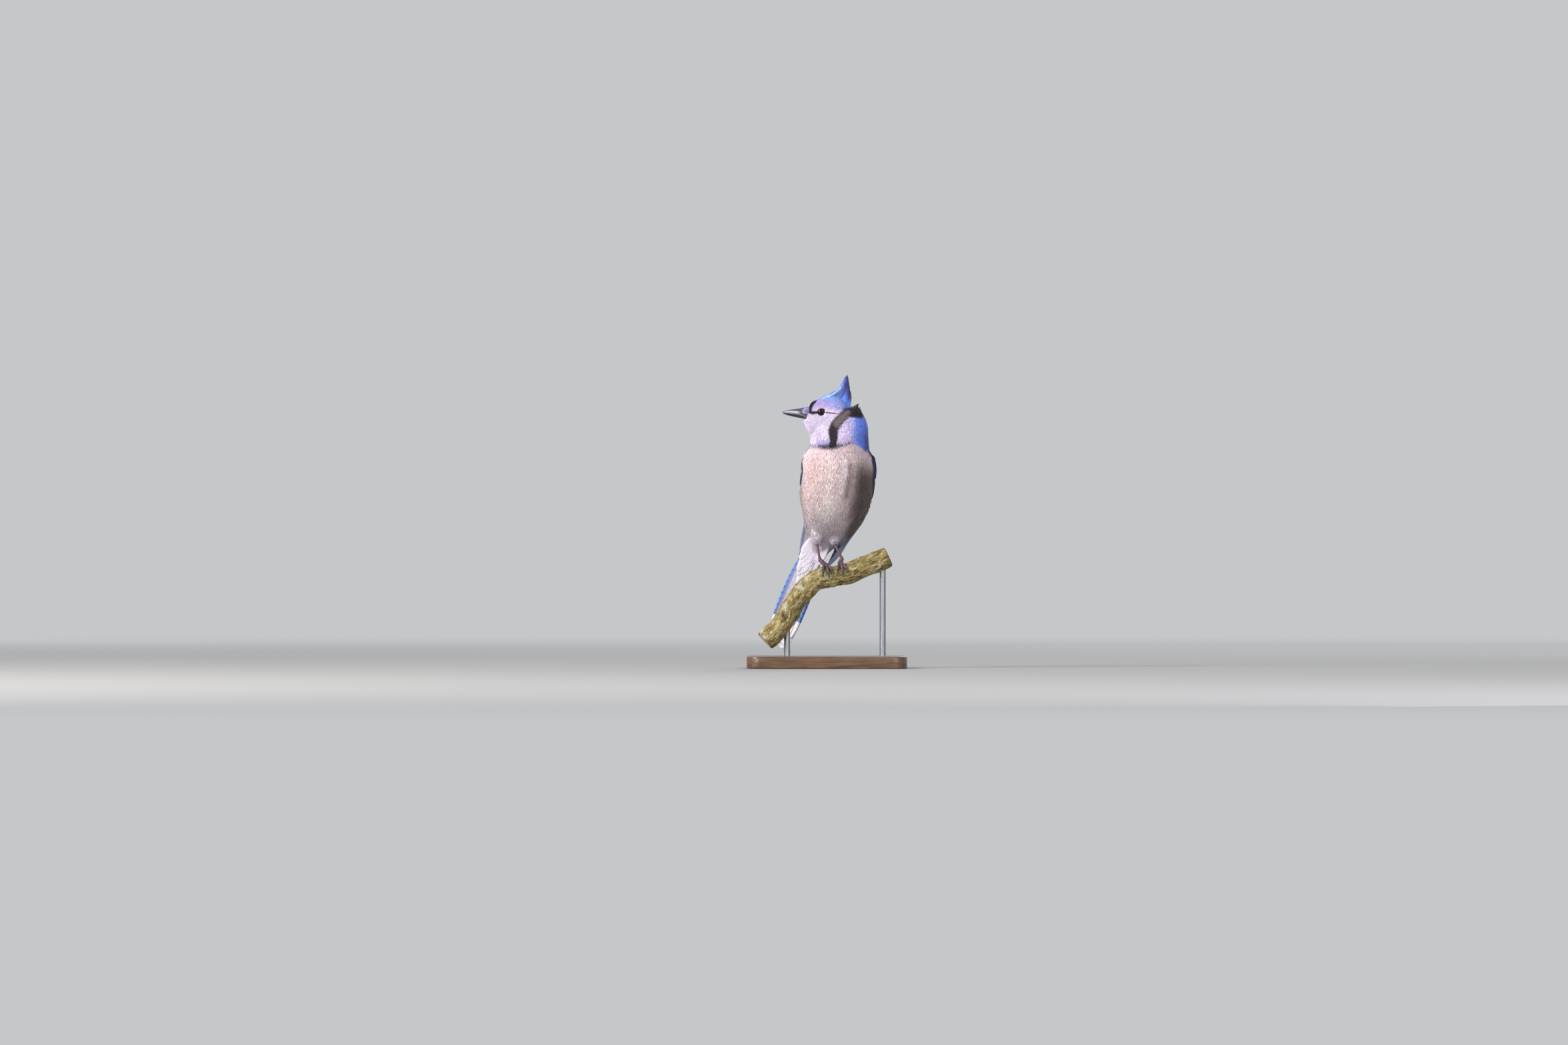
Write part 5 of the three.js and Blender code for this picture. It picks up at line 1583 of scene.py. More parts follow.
@dataclass
class Wings:
    """Both folded wings: flesh of the arm for the skin, and tiers of feathers over it."""

    edge: dict[Hand, float] = field(default_factory=lambda: {Hand.LEFT: 10.0, Hand.RIGHT: 14.0})
    tip_edge: dict[Hand, float] = field(default_factory=lambda: {Hand.LEFT: 14.0, Hand.RIGHT: 50.0})
    edge_start: dict[Hand, float] = field(default_factory=lambda: {Hand.LEFT: 96.0, Hand.RIGHT: 82.0})
    tip_at: float = 166.0
    # Flesh of the arm: distance along the body, nearest and furthest place across, and swelling.
    arm: tuple[tuple[float, float, float, float], ...] = (
        (44, 6, 31, 0.6), (49, 2.5, 35, 1.2), (59, 1, 38, 1.7), (70, 1, 38, 1.7), (80, 1.2, 36, 1.4),
        (87, 2.5, 32, 0.7),
    )
    tiers: tuple[Tier, ...] = (
        Tier("primaries", 9, 74, -0.8, 166, -2.6, 2.6, 1.15, 6.6, 1.1, 1.6, 24, "#5F7CCB", 0.25, 0, 0.9, 6),
        Tier(
            "secondaries", 9, 67, -0.6, 142, -2.4, 12.6, 1.5, 8.2, 1.2, 2.1, 19, "#5C80E2", 0.95, 6, 0.9, 5.2
        ),
        Tier("tertials", 4, 63, -1.2, 119, -6.5, 26.8, 3.1, 9.8, 1.3, 2.5, 15, "#6684DE", 0.9, 7, 0.15, 5.6),
        Tier(
            "primary_coverts", 6, 62, -0.6, 92, -1.4, 2.4, 1.7, 5.0, 1.8, 3.1, 15, "#5A7EDC", 0.9, 0, 0.6, 3.4
        ),
        Tier(
            "greater_coverts", 10, 58, -0.4, 87.5, -0.8, 11.8, 2.35, 6.6, 2, 3.6, 15,
            "#6C9DF2", 0.92, 5, 0.3, 3.3,
        ),
        Tier("median_coverts", 10, 53, -0.2, 72, -0.3, 3.6, 3.1, 6.8, 1.8, 3.9, 13, "#6A84D8"),
        Tier("lesser_coverts_low", 10, 50.5, -0.1, 66.5, -0.2, 2.4, 3.3, 6.2, 1.7, 4.15, 12, "#6577C8"),
        Tier("lesser_coverts_middle", 10, 48.5, 0, 61.5, -0.2, 4, 3.2, 6.0, 1.6, 4.25, 12, "#6474C4"),
        Tier("lesser_coverts_high", 10, 46, 0, 56.5, -0.2, 3, 3.2, 5.8, 1.3, 4.1, 12, "#6371C0"),
        Tier("alula", 3, 52, 0, 79, -5, 0.4, 1.5, 3.6, 1.2, 2.6, 6, "#6C9DF2", 0.9, 0, 0.3, 3.1),
    )
    # How far the flank feathers lap over each wing's edge, by distance along the body.
    lapped: dict[Hand, tuple[tuple[float, float], ...]] = field(
        default_factory=lambda: {
            Hand.LEFT: ((66, 0), (86, 1), (128, 1), (142, 0)),
            Hand.RIGHT: ((40, 0), (46, 1), (54, 1), (61, 0.1), (76, 0.1), (85, 1), (128, 1), (142, 0)),
        }
    )
    scapular_rows: int = 9
    scapular_columns: tuple[float, ...] = (39.5, 36.4, 33.3, 30.4)
    scapular_colour: str = "#6B77BC"

    def point(self, hand: Hand, at: Array, across: Array, lift: Array) -> Array:
        """Points of a wing, given down the body, across from its lower edge and off its bed."""
        middle, _, left, back = body_frame(at)
        side, depth = np.moveaxis(sections(WING_BED, at), -1, 0)
        angle = self._edge_angle(hand, np.asarray(at)) + across / side
        aside = hand.value * np.cos(angle) * (side + lift)
        return middle + left * aside[..., None] + back * (np.sin(angle) * (depth + lift))[..., None]

    def covers(self, places: BodyPlaces) -> Array:
        """Whether places on the body lie well under a wing."""
        under = np.zeros(len(places.at), bool)
        reach = np.interp(places.at, [50, 60, 100, 118, 130], [27, 30, 30, 18, 8])
        for hand in Hand:
            across = self.across(hand, places)
            under |= (across > 0.8) & (across < reach) & (places.at > 51) & (places.at < 132)
        return under

    def lap(self, places: BodyPlaces) -> tuple[Array, Array]:
        """How far flank feathers at places lap over the wing's lower edge, and the way over it."""
        over = np.zeros((len(places.at), 3))
        lap = np.zeros(len(places.at))
        _, _, left, back = body_frame(places.at)
        for hand in Hand:
            across = self.across(hand, places)
            near = ease((across + 16) / 13) * (np.abs(across) < 20)
            near = near * read(self.lapped[hand], places.at)
            lap = np.maximum(lap, near)
            over = over + back * near[:, None]
        return lap, over

    def across(self, hand: Hand, places: BodyPlaces) -> Array:
        """How far places on the body lie beyond a wing's lower edge, round the body."""
        angle = np.arctan2(np.sin(places.angle), hand.value * np.cos(places.angle))
        return (angle - self._edge_angle(hand, places.at)) * sections(WING_BED, places.at)[:, 0]

    def _edge_angle(self, hand: Hand, at: Array) -> Array:
        """Angle of a wing's lower edge round the body, from the body's side towards its back."""
        start = self.edge_start[hand]
        share = ease((at - start) / (self.tip_at - start))
        return np.radians(mix(self.edge[hand], self.tip_edge[hand], share))

    def arms(self) -> list[Object]:
        """The flesh of both folded arms."""
        return [self._arm(hand) for hand in Hand]

    def _arm(self, hand: Hand) -> Object:
        """Bends a tube over the bed: its upper half is the arm and its lower half lies in the trunk."""

        def place(turn: Array, along: Array) -> Array:
            """Points round the arm's section."""
            at = mix(self.arm[0][0], self.arm[-1][0], along)
            near, far, swell = np.moveaxis(sections(self.arm, at), -1, 0)
            share = 0.5 - 0.5 * np.cos(turn * FULL_TURN)
            rise = np.sin(turn * FULL_TURN)
            lift = np.where(rise > 0, -0.6 + (swell + 0.4) * np.abs(rise) ** 0.5, -0.6 - 4 * np.abs(rise))
            return self.point(hand, at, mix(near, far, share), lift)

        return bent_grid(f"arm_form_{hand.word}", 28, 20, place)

    def build(self) -> None:
        """Makes the feathers of both wings."""
        firm = BarredVane("barred flight feathers").build()
        for hand in Hand:
            chance = np.random.default_rng(SEED + hand.value)
            flight, coverts = FlightVanes(), FlightVanes(stations=13, thickness=0.22)
            for tier in self.tiers:
                into = flight if tier.tip - tier.root > LONG_VANE else coverts
                for index in range(tier.count):
                    self._feather(into, hand, tier, index, chance)
            self._scapulars(coverts, hand, chance)
            flight_name = f"flight_feathers_{hand.word}"
            keep_piece(flight.build(flight_name), firm, "wing_feathers", f"wing_{hand.word}")
            keep_piece(coverts.build(f"wing_coverts_{hand.word}"), firm, "wing_feathers", f"wing_{hand.word}")

    def _feather(
        self, into: FlightVanes, hand: Hand, tier: Tier, index: int, chance: np.random.Generator
    ) -> None:
        """Adds one feather of a tier."""
        share = into.shares()
        tip = tier.tip + index * tier.tip_step + chance.normal(0, 0.5)
        at = mix(tier.root + index * tier.root_step, tip, share)
        across = np.full_like(at, tier.across + index * tier.step + chance.normal(0, 0.08))
        lift = mix(tier.root_lift, tier.lift, ease(share * 2.4))
        marks = (tier.bars, tier.white_tip * chance.uniform(0.8, 1.15), tier.dusk, tier.pitch)
        # Coverts get a fade of painted shade towards the root; flight feathers get none.
        widths, fade = (FLIGHT_WIDTHS, 0.0) if tier.tip - tier.root > LONG_VANE else (COVERT_WIDTHS, 0.3)
        look = VaneLook(tier.width, widths, tier.colour, marks, math.radians(tier.tilt), fade)
        self._lay(into, hand, at, across, lift, look)

    def _lay(
        self,
        into: FlightVanes,
        hand: Hand,
        at: Array,
        across: Array,
        lift: Array,
        look: VaneLook,
    ) -> None:
        """Adds a vane that lies along the wing."""
        beside = self.point(hand, at, across + 1, lift) - self.point(hand, at, across - 1, lift)
        into.add(self.point(hand, at, across, lift), beside, look, hand)

    def _scapulars(self, into: FlightVanes, hand: Hand, chance: np.random.Generator) -> None:
        """Adds rows of scapulars over the roots of the tertials."""
        share = into.shares()
        for column, across in enumerate(reversed(self.scapular_columns)):
            for row in range(self.scapular_rows):
                root = 43 + row * 5.4 + (column % 2) * 2.7 + chance.normal(0, 0.5)
                at = mix(root, root + 15 + 4 * row / self.scapular_rows, share)
                place = across + 0.5 * chance.normal() - 1.2 * share
                lift = mix(0.9, 4.5 + 0.2 * column, share**0.85)
                width = 8.4 + chance.normal(0, 0.3)
                # The last number is the fade: painted shade towards the root.
                look = VaneLook(width, COVERT_WIDTHS, self.scapular_colour, (0.0, 0.0, 0.0, 5.0), 0.08, 0.42)
                self._lay(into, hand, at, place, lift, look)


@dataclass
class Tail:
    """Tail of twelve rectrices under and over rows of coverts."""

    pairs: int = 6
    root: float = 153.0
    outer_shorter: float = 13.0
    pitch: float = 0.86
    top_depth: float = 1.9
    inner: float = 0.25
    weave: float = 2.6
    outer: float = 9.6
    outer_step: float = 1.02
    root_inner: float = 1.6
    root_outer: float = 6.0
    # Rows of coverts: distance of root and tip, places to the side, width, depth at root and tip.
    upper_coverts: tuple[tuple, ...] = (
        (139, 166, (-9, -5.4, -1.8, 1.8, 5.4, 9), 6.6, 5.2, 4.6),
        (144, 174, (-7, -2.4, 2.4, 7), 6.4, 4.2, 3.9),
        (149, 182, (-4.6, 0, 4.6), 6.4, 3.2, 3.1),
    )
    under_coverts: tuple[tuple, ...] = (
        (141, 167, (-10, -6.6, -3.4, 0, 3.4, 6.6, 10), 6, -6.7, -5.9),
        (143, 171, (-9, -5, -1.7, 1.7, 5, 9), 6, -6.5, -5.6),
        (145, 176, (-7.6, -3.4, 0, 3.4, 7.6), 6, -6.3, -5.2),
        (148, 181, (-6.4, -2, 2, 6.4), 6.2, -6.0, -4.8),
        (151, 187, (-5, -0.4, 4), 6.4, -5.6, -4.3),
        (155, 194, (-2.6, 2.4), 6.6, -5.0, -3.7),
    )
    upper_colour: str = "#6A8CE6"
    under_colour: str = "#CFCBDF"
    rim_colour: str = "#5B86D2"
    covert_colour: str = "#7A98E6"
    vent_colour: str = "#E9E3F1"

    def build(self) -> None:
        """Makes the rectrices and the coverts."""
        chance = np.random.default_rng(SEED + 7)
        firm = BarredVane("barred tail feathers", shaft=0.33).build()
        soft = BarredVane("soft tail coverts", barb_pitch=0.95).build()
        fan = FlightVanes(stations=30, thickness=0.3, under_bars=0.08)
        for pair in range(self.pairs):
            for hand in Hand:
                self._rectrix(fan, pair, hand, chance)
        keep_piece(fan.build("tail_feathers"), firm, "tail_feathers", "tail")
        upper, under = FlightVanes(stations=14), FlightVanes(stations=14, thickness=0.14)
        for row in self.upper_coverts:
            self._coverts(upper, row, self.covert_colour, 0.35, chance)
        for row in self.under_coverts:
            self._coverts(under, row, self.vent_colour, 0.0, chance)
        keep_piece(upper.build("upper_tail_coverts"), soft, "tail_feathers", "tail")
        fluffy = DownyPlumage("fluffy vent feathers", barb_count=16.0, streak=0.2).build()
        keep_piece(under.build("under_tail_coverts"), fluffy, "tail_feathers", "tail")

    def _rectrix(self, fan: FlightVanes, pair: int, hand: Hand, chance: np.random.Generator) -> None:
        """Adds one tail feather. The inner edges of the pairs pass the middle in turn."""
        order = pair / (self.pairs - 1)
        seam = hand.value * self.inner + (1 if pair % 2 == 0 else -1) * self.weave
        edge = hand.value * (self.outer + pair * self.outer_step)
        share = fan.shares()
        tip = SPINE.length - self.outer_shorter * order**1.6 + chance.normal(0, 0.25)
        root_side = hand.value * mix(self.root_inner, self.root_outer, order)
        side = mix(root_side, (seam + edge) / 2, np.minimum(share * 2, 1))
        at = mix(self.root, tip, share)
        middle = body_point(at, side, (self.top_depth - pair * self.pitch) * mix(0.8, 1, share))
        marks = (0.85, mix(2, 20, ease(order * 1.2)), 0.15 + 0.5 * order, 6.4)
        rim = self.rim_colour if pair == self.pairs - 1 else ""
        look = VaneLook(
            abs(edge - seam) - 0.3, FLIGHT_WIDTHS, self.upper_colour, marks, under=self.under_colour, rim=rim
        )
        fan.add(middle, -body_frame(at)[2] * hand.value, look, hand)

    def _coverts(
        self, into: FlightVanes, row: tuple, colour: str, bars: float, chance: np.random.Generator
    ) -> None:
        """Adds one row of coverts."""
        root, tip, places, width, root_depth, depth = row
        share = into.shares()
        look = VaneLook(width, COVERT_WIDTHS, colour, (bars, 0, 0, 4.6), under=colour)
        for place in places:
            at = mix(root, tip - abs(place) * 0.7 + chance.normal(0, 1.2), share)
            side = mix(place * 0.9, place, share) + chance.normal(0, 0.2)
            left = body_frame(at)[2]
            middle = body_point(at, side, mix(root_depth, depth, share) + 0.05 * place)
            into.add(middle, -left if depth > 0 else left, look)


@dataclass(frozen=True)
class Lock:
    """A row of long head feathers in the profile: root, bend and tip on X and Z."""

    root: Array
    bend: Array
    tip: Array
    spread: float
    count: float
    width: float
    fan: float
    base: Array
    end: Array

    @classmethod
    def of(cls, *row: object) -> "Lock":
        """A row from plain numbers and two hex colours, of the roots and of the tips."""
        return cls(*map(np.array, row[:3]), *row[3:7], linear(row[7]), linear(row[8]))

    def towards(self, other: "Lock", share: float) -> "Lock":
        """A row part of the way to another one."""
        names = Lock.__dataclass_fields__
        return Lock(*(mix(getattr(self, name), getattr(other, name), share) for name in names))


@dataclass
class HeadPlumes:
    """Crest, tufts of the nape and bristles over the nostrils."""

    crest: tuple[Lock, ...] = (
        Lock.of((-12, 256), (-6, 263.6), (2, 266.6), 9, 7, 3.2, 1.1, "#93B6F4", "#96BFF8"),
        Lock.of((-9, 257), (-2, 265.4), (7.4, 268.8), 9, 7, 3.4, 1.1, "#8FB0F4", "#96BFF8"),
        Lock.of((-5, 259), (4, 267.8), (12.4, 271.8), 9, 7, 3.6, 1.0, "#93AFF2", "#8CB2F4"),
        Lock.of((0, 260), (9, 268), (14.8, 276), 7.5, 6, 3.6, 0.8, "#9AAAF0", "#8CA8F0"),
        Lock.of((3, 260), (12.8, 266.8), (16.8, 281.6), 6, 5, 3.8, 0.6, "#93A4EE", "#6F84DC"),
        Lock.of((4.5, 259), (15, 265.4), (18.2, 284), 5, 5, 3.8, 0.5, "#7F9AEC", "#5866B6"),
        Lock.of((6, 258), (17, 264), (20.2, 286), 3.6, 5, 3.8, 0.4, "#6883DE", "#474A80"),
        Lock.of((8.5, 256), (19, 262), (21.2, 281), 5, 5, 3.8, 0.6, "#5A7ADA", "#2E2C54"),
        Lock.of((10, 254.5), (19.6, 260.6), (21.8, 275.4), 7, 5, 3.8, 0.8, "#5C86EC", "#34345E"),
        Lock.of((10.5, 252.5), (20.2, 258.2), (23.4, 269.8), 8, 6, 3.8, 0.9, "#5A88F0", "#2A2744"),
        Lock.of((12, 249.5), (20.6, 255), (24, 264.6), 9, 6, 3.6, 1.0, "#5A88F0", "#4660B4"),
        Lock.of((11, 247.5), (18.8, 252.6), (22.6, 259.4), 10, 7, 3.4, 1.0, "#6C90EE", "#4E74D8"),
    )
    nape: tuple[Lock, ...] = (
        Lock.of((20, 248), (27.2, 253.8), (31.6, 258.2), 3, 4, 2.6, 1.5, "#2A2029", "#3A3038"),
        Lock.of((20, 250), (25, 254.6), (29.6, 257.2), 8, 6, 2.8, 1.2, "#241B24", "#2A2128"),
        Lock.of((22, 246), (29, 250.6), (33.2, 254.2), 8, 6, 2.8, 1.2, "#241B24", "#2E252C"),
        Lock.of((24, 243), (31, 246), (34.6, 249.4), 10, 7, 2.8, 1.1, "#241B24", "#2C2430"),
    )
    nasal_heights: tuple[float, ...] = (253.9, 253.1, 252.3, 251.4, 250.5, 249.6, 248.8)
    nasal_row: int = 7
    nasal_colour: str = "#8A86B8"
    nasal_tip: str = "#BDB9E4"
    thickness: float = 0.3
    stations: int = 9
    # How much of their length the outer feathers of a row lose.
    loss: float = 0.16
    side_turn: float = 76.0
    least_turn: float = 0.62
    crest_rows: int = 36
    nape_rows: int = 9

    def build(self) -> None:
        """Makes every plume of the head as two pieces."""
        chance = np.random.default_rng(SEED + 11)
        finish = DownyPlumage("crest feathers", barb_count=6.0, streak=0.36).build()
        locks = self._rows(self.crest, self.crest_rows, chance)
        locks += self._rows(self.nape, self.nape_rows, chance)
        keep_piece(self._gathered(locks).build("crest_feathers"), finish, "head_feathers", "head")
        bristles = [
            self._bristle(hand, height, row, chance)
            for hand in Hand
            for height in self.nasal_heights
            for row in range(self.nasal_row)
        ]
        keep_piece(self._gathered(bristles).build("nasal_bristles"), finish, "head_feathers", "head")

    @staticmethod
    def _gathered(sheets: list[VaneSheets]) -> VaneSheets:
        """Puts lists of vanes together."""
        names = ("points", "vane", "pigment", "patch")
        return VaneSheets(
            **{name: np.concatenate([getattr(sheet, name) for sheet in sheets]) for name in names}
        )

    def _rows(self, locks: tuple[Lock, ...], count: int, chance: np.random.Generator) -> list[VaneSheets]:
        """Makes rows at and between the given locks, so close that their points merge into one soft edge."""
        places = np.linspace(0, len(locks) - 1, count)
        last = len(locks) - 1
        pairs = [(locks[int(place)], locks[min(int(place) + 1, last)], place % 1) for place in places]
        return [self._row(first.towards(second, share), chance) for first, second, share in pairs]

    def _row(self, lock: Lock, chance: np.random.Generator) -> VaneSheets:
        """Makes the feathers of one row of the crest or nape."""
        sheets = []
        for across in np.linspace(-1, 1, round(lock.count)):
            for layer in range(2):
                reach = 1 - abs(across) * self.loss - 0.14 * layer + chance.normal(0, 0.035)
                drop = abs(across) * lock.spread * self.loss + 0.5 * layer
                side = across * lock.spread / 2 + chance.normal(0, 0.15)
                tip = [mix(lock.bend[axis], lock.tip[axis], reach) for axis in range(2)]
                end = HEAD_Y + side * lock.fan + chance.normal(0, 0.2)
                rows = ((lock.root, HEAD_Y + side), (lock.bend, HEAD_Y + side), (tip, end))
                knots = np.array([(place[0], y, place[1] - drop) for place, y in rows])
                side_on = max(abs(across) ** 0.8, self.least_turn)
                turn = -math.copysign(side_on, across + 0.01 * (0.5 - layer)) * math.radians(self.side_turn)
                turn += chance.normal(0, 0.1)
                sheets.append(self._blade(knots, lock.width, turn, lock.base, lock.end, chance))
        return self._gathered(sheets)

    def _bristle(self, hand: Hand, height: float, row: int, chance: np.random.Generator) -> VaneSheets:
        """Makes one bristle that lies forward over the nostril."""
        height = height + chance.normal(0, 0.35)
        lean = max((height - 251.3) * 0.5, 0)
        far = HEAD_Y - hand.value * (4.75 - lean + 0.06 * row)
        root_x = -13.0 - row * 0.75 + chance.normal(0, 0.8)
        knots = np.array(
            [
                (root_x, HEAD_Y - hand.value * (6.4 - lean), height - 0.4),
                (root_x - 3.6, far, height + 0.3),
                (
                    root_x - 6.6 + chance.normal(0, 1.1),
                    far + hand.value * 0.4,
                    height - 0.2 + chance.normal(0, 0.4),
                ),
            ]
        )
        turn = math.pi / 2 * hand.value * (1 - lean / 3)
        return self._blade(knots, 0.55, turn, linear(self.nasal_colour), linear(self.nasal_tip), chance)

    def _blade(
        self,
        knots: Array,
        width: float,
        turn: float,
        colour: Array,
        tip_colour: Array,
        chance: np.random.Generator,
    ) -> VaneSheets:
        """Makes one narrow feather along a bent line through three knots."""
        share = 1 - (1 - np.linspace(0, 1, self.stations)) ** 1.3
        early, late = (1 - share)[:, None], share[:, None]
        middle = early**2 * knots[0] + 2 * early * late * knots[1] + late**2 * knots[2]
        run = unit(np.gradient(middle, axis=0))
        flat = np.array([0.0, 1.0, 0.0])
        across = unit(flat - run * (run @ flat)[:, None])
        up = np.cross(run, across)
        cos, sin = math.cos(turn), math.sin(turn)
        across, up = across * cos + up * sin, up * cos - across * sin
        full = width * sections(BLADE_WIDTHS, share)[:, 0]
        thick = np.full_like(full, min(self.thickness, width * 0.12))
        ring = np.array(BLADE_RING)
        points = VaneSheets.lofted(middle[None], across[None], up[None], full[None], thick[None], ring)
        pigment = mix(colour, tip_colour, ease(late * 1.6 - 0.5)) * (1 + chance.normal(0, 0.1))
        pigment = np.broadcast_to(np.clip(pigment, 0, 1)[:, None], points.shape)
        spots = VaneSheets.spots(ring, share, points)
        around = math.atan2(knots[0][2] - 248, knots[0][1] - HEAD_Y) / FULL_TURN + 0.5
        patch = in_map(np.array([around, (knots[0][0] + 26) / 64])) + (spots - 0.5) * PATCH_SIDE
        return VaneSheets(points, spots + (chance.random() * 5, 0), pigment, patch=patch)


@dataclass
class Bill:
    """Both halves of the bill, parted by the line of the mouth, with a slit nostril on each side."""

    # Place, heights of the culmen, mouth and keel, and half width.
    rows: tuple[tuple[float, ...], ...] = (
        (-43.6, 249.75, 249.25, 248.9, 0.35), (-42.2, 250.4, 249.2, 248.1, 1),
        (-39, 251.3, 248.95, 246.9, 1.75),
        (-35, 252.1, 248.4, 245.8, 2.4), (-30, 252.8, 247.75, 244.7, 3.1), (-26, 253.3, 247.05, 243.9, 3.7),
        (-22, 254.2, 245.6, 243, 4.4), (-18, 254.9, 243.9, 242, 5), (-13, 254.6, 243.3, 241.2, 5.2),
    )
    # Shape of a half's section from its edge to its ridge: width share, then height share.
    arch: tuple[tuple[float, float], ...] = (
        (1, 0), (0.985, 0.16), (0.94, 0.36), (0.83, 0.56), (0.66, 0.74), (0.44, 0.88), (0.22, 0.97), (0, 1),
    )
    gap: float = 0.3
    lower_set_back: float = 0.9
    lower_width: float = 0.94
    nostril: tuple[float, float, float] = (-22.6, 3.6, 250.9)
    nostril_half: tuple[float, float] = (1.5, 0.75)
    steps: int = 60
    upper_colour: str = "#383945"
    # Lower half's horn, darker than the upper half as painted shade.
    lower_colour: str = "#1E1823"
    # Painted highlight along the upper half.
    painted_highlight_colour: str = "#DAD8E6"

    def build(self) -> None:
        """Makes both halves and cuts the nostrils."""
        horn = PolishedHorn("dark bill horn", painted=True).build()
        upper = self._half("bill_upper_horn", upper=True)
        self._cut_nostrils(upper)
        lower = self._half("bill_lower_horn", upper=False)
        for half, node in ((upper, "bill_upper"), (lower, "bill_lower")):
            self._paint(half)
            keep_piece(half, horn, "bill", node)

    def _paint(self, half: Object) -> None:
        """Paints a pale streak along the upper half as a painted highlight, between a dark ridge and a dark
        edge, and paints the lower half darker as painted shade.
        """
        points = points_of(half)
        culmen, mouth = np.moveaxis(sections(self.rows, points[:, 0]), -1, 0)[:2]
        rise = (points[:, 2] - mouth) / (culmen - mouth)
        along = ease((points[:, 0] + 43) / 3) * ease((-24 - points[:, 0]) / 6)
        middle = mix(0.5, 0.32, ease((points[:, 0] + 42) / 18))
        streak = 0.95 * along * np.exp(-(((rise - middle) / 0.22) ** 2))
        # Painted shade: the lower half is darker than the upper.
        tone = mix(linear(self.lower_colour), linear(self.upper_colour), ease(rise / 0.1 + 0.5)[:, None])
        paint(half.data, "pigment", mix(tone, linear(self.painted_highlight_colour), streak[:, None]))

    def _half(self, name: str, upper: bool) -> Object:
        """Lofts one half of the bill."""
        first, last = self.rows[0][0] + (0 if upper else self.lower_set_back), self.rows[-1][0]
        curve = np.asarray(self.arch + tuple((-side, rise) for side, rise in self.arch[-2::-1]), float)
        sides = np.vstack([curve, [(-0.5, 0.0), (0.0, 0.0), (0.5, 0.0)], curve[:1]])

        def place(turn: Array, along: Array) -> Array:
            """Points of the half's section."""
            at = mix(first, last, along**1.5)
            culmen, mouth, keel, half = np.moveaxis(sections(self.rows, at), -1, 0)
            spot = turn * (len(sides) - 1)
            side = np.interp(spot, np.arange(len(sides)), sides[:, 0])
            rise = np.interp(spot, np.arange(len(sides)), sides[:, 1])
            if upper:
                low = mouth + self.gap / 2
                height = low + rise * (culmen - low)
            else:
                low = mouth - self.gap / 2
                height = low - rise * (low - keel)
                half = half * self.lower_width
            groove = 1 - 0.05 * np.exp(-(((rise - 0.5) / 0.12) ** 2)) * (at > -38)
            return np.stack([at, HEAD_Y + side * half * groove, height], axis=-1)

        return bent_grid(name, (len(sides) - 1) * 3, self.steps, place)

    def _cut_nostrils(self, upper: Object) -> None:
        """Cuts both nostrils into the upper half."""
        x, aside, z = self.nostril
        long, high = self.nostril_half
        middles = [(x, HEAD_Y + hand.value * (aside + 0.5), z) for hand in Hand]
        cut_out(upper, [ball(middle, 1.0, (24, 16), (long, 0.9, high)) for middle in middles])


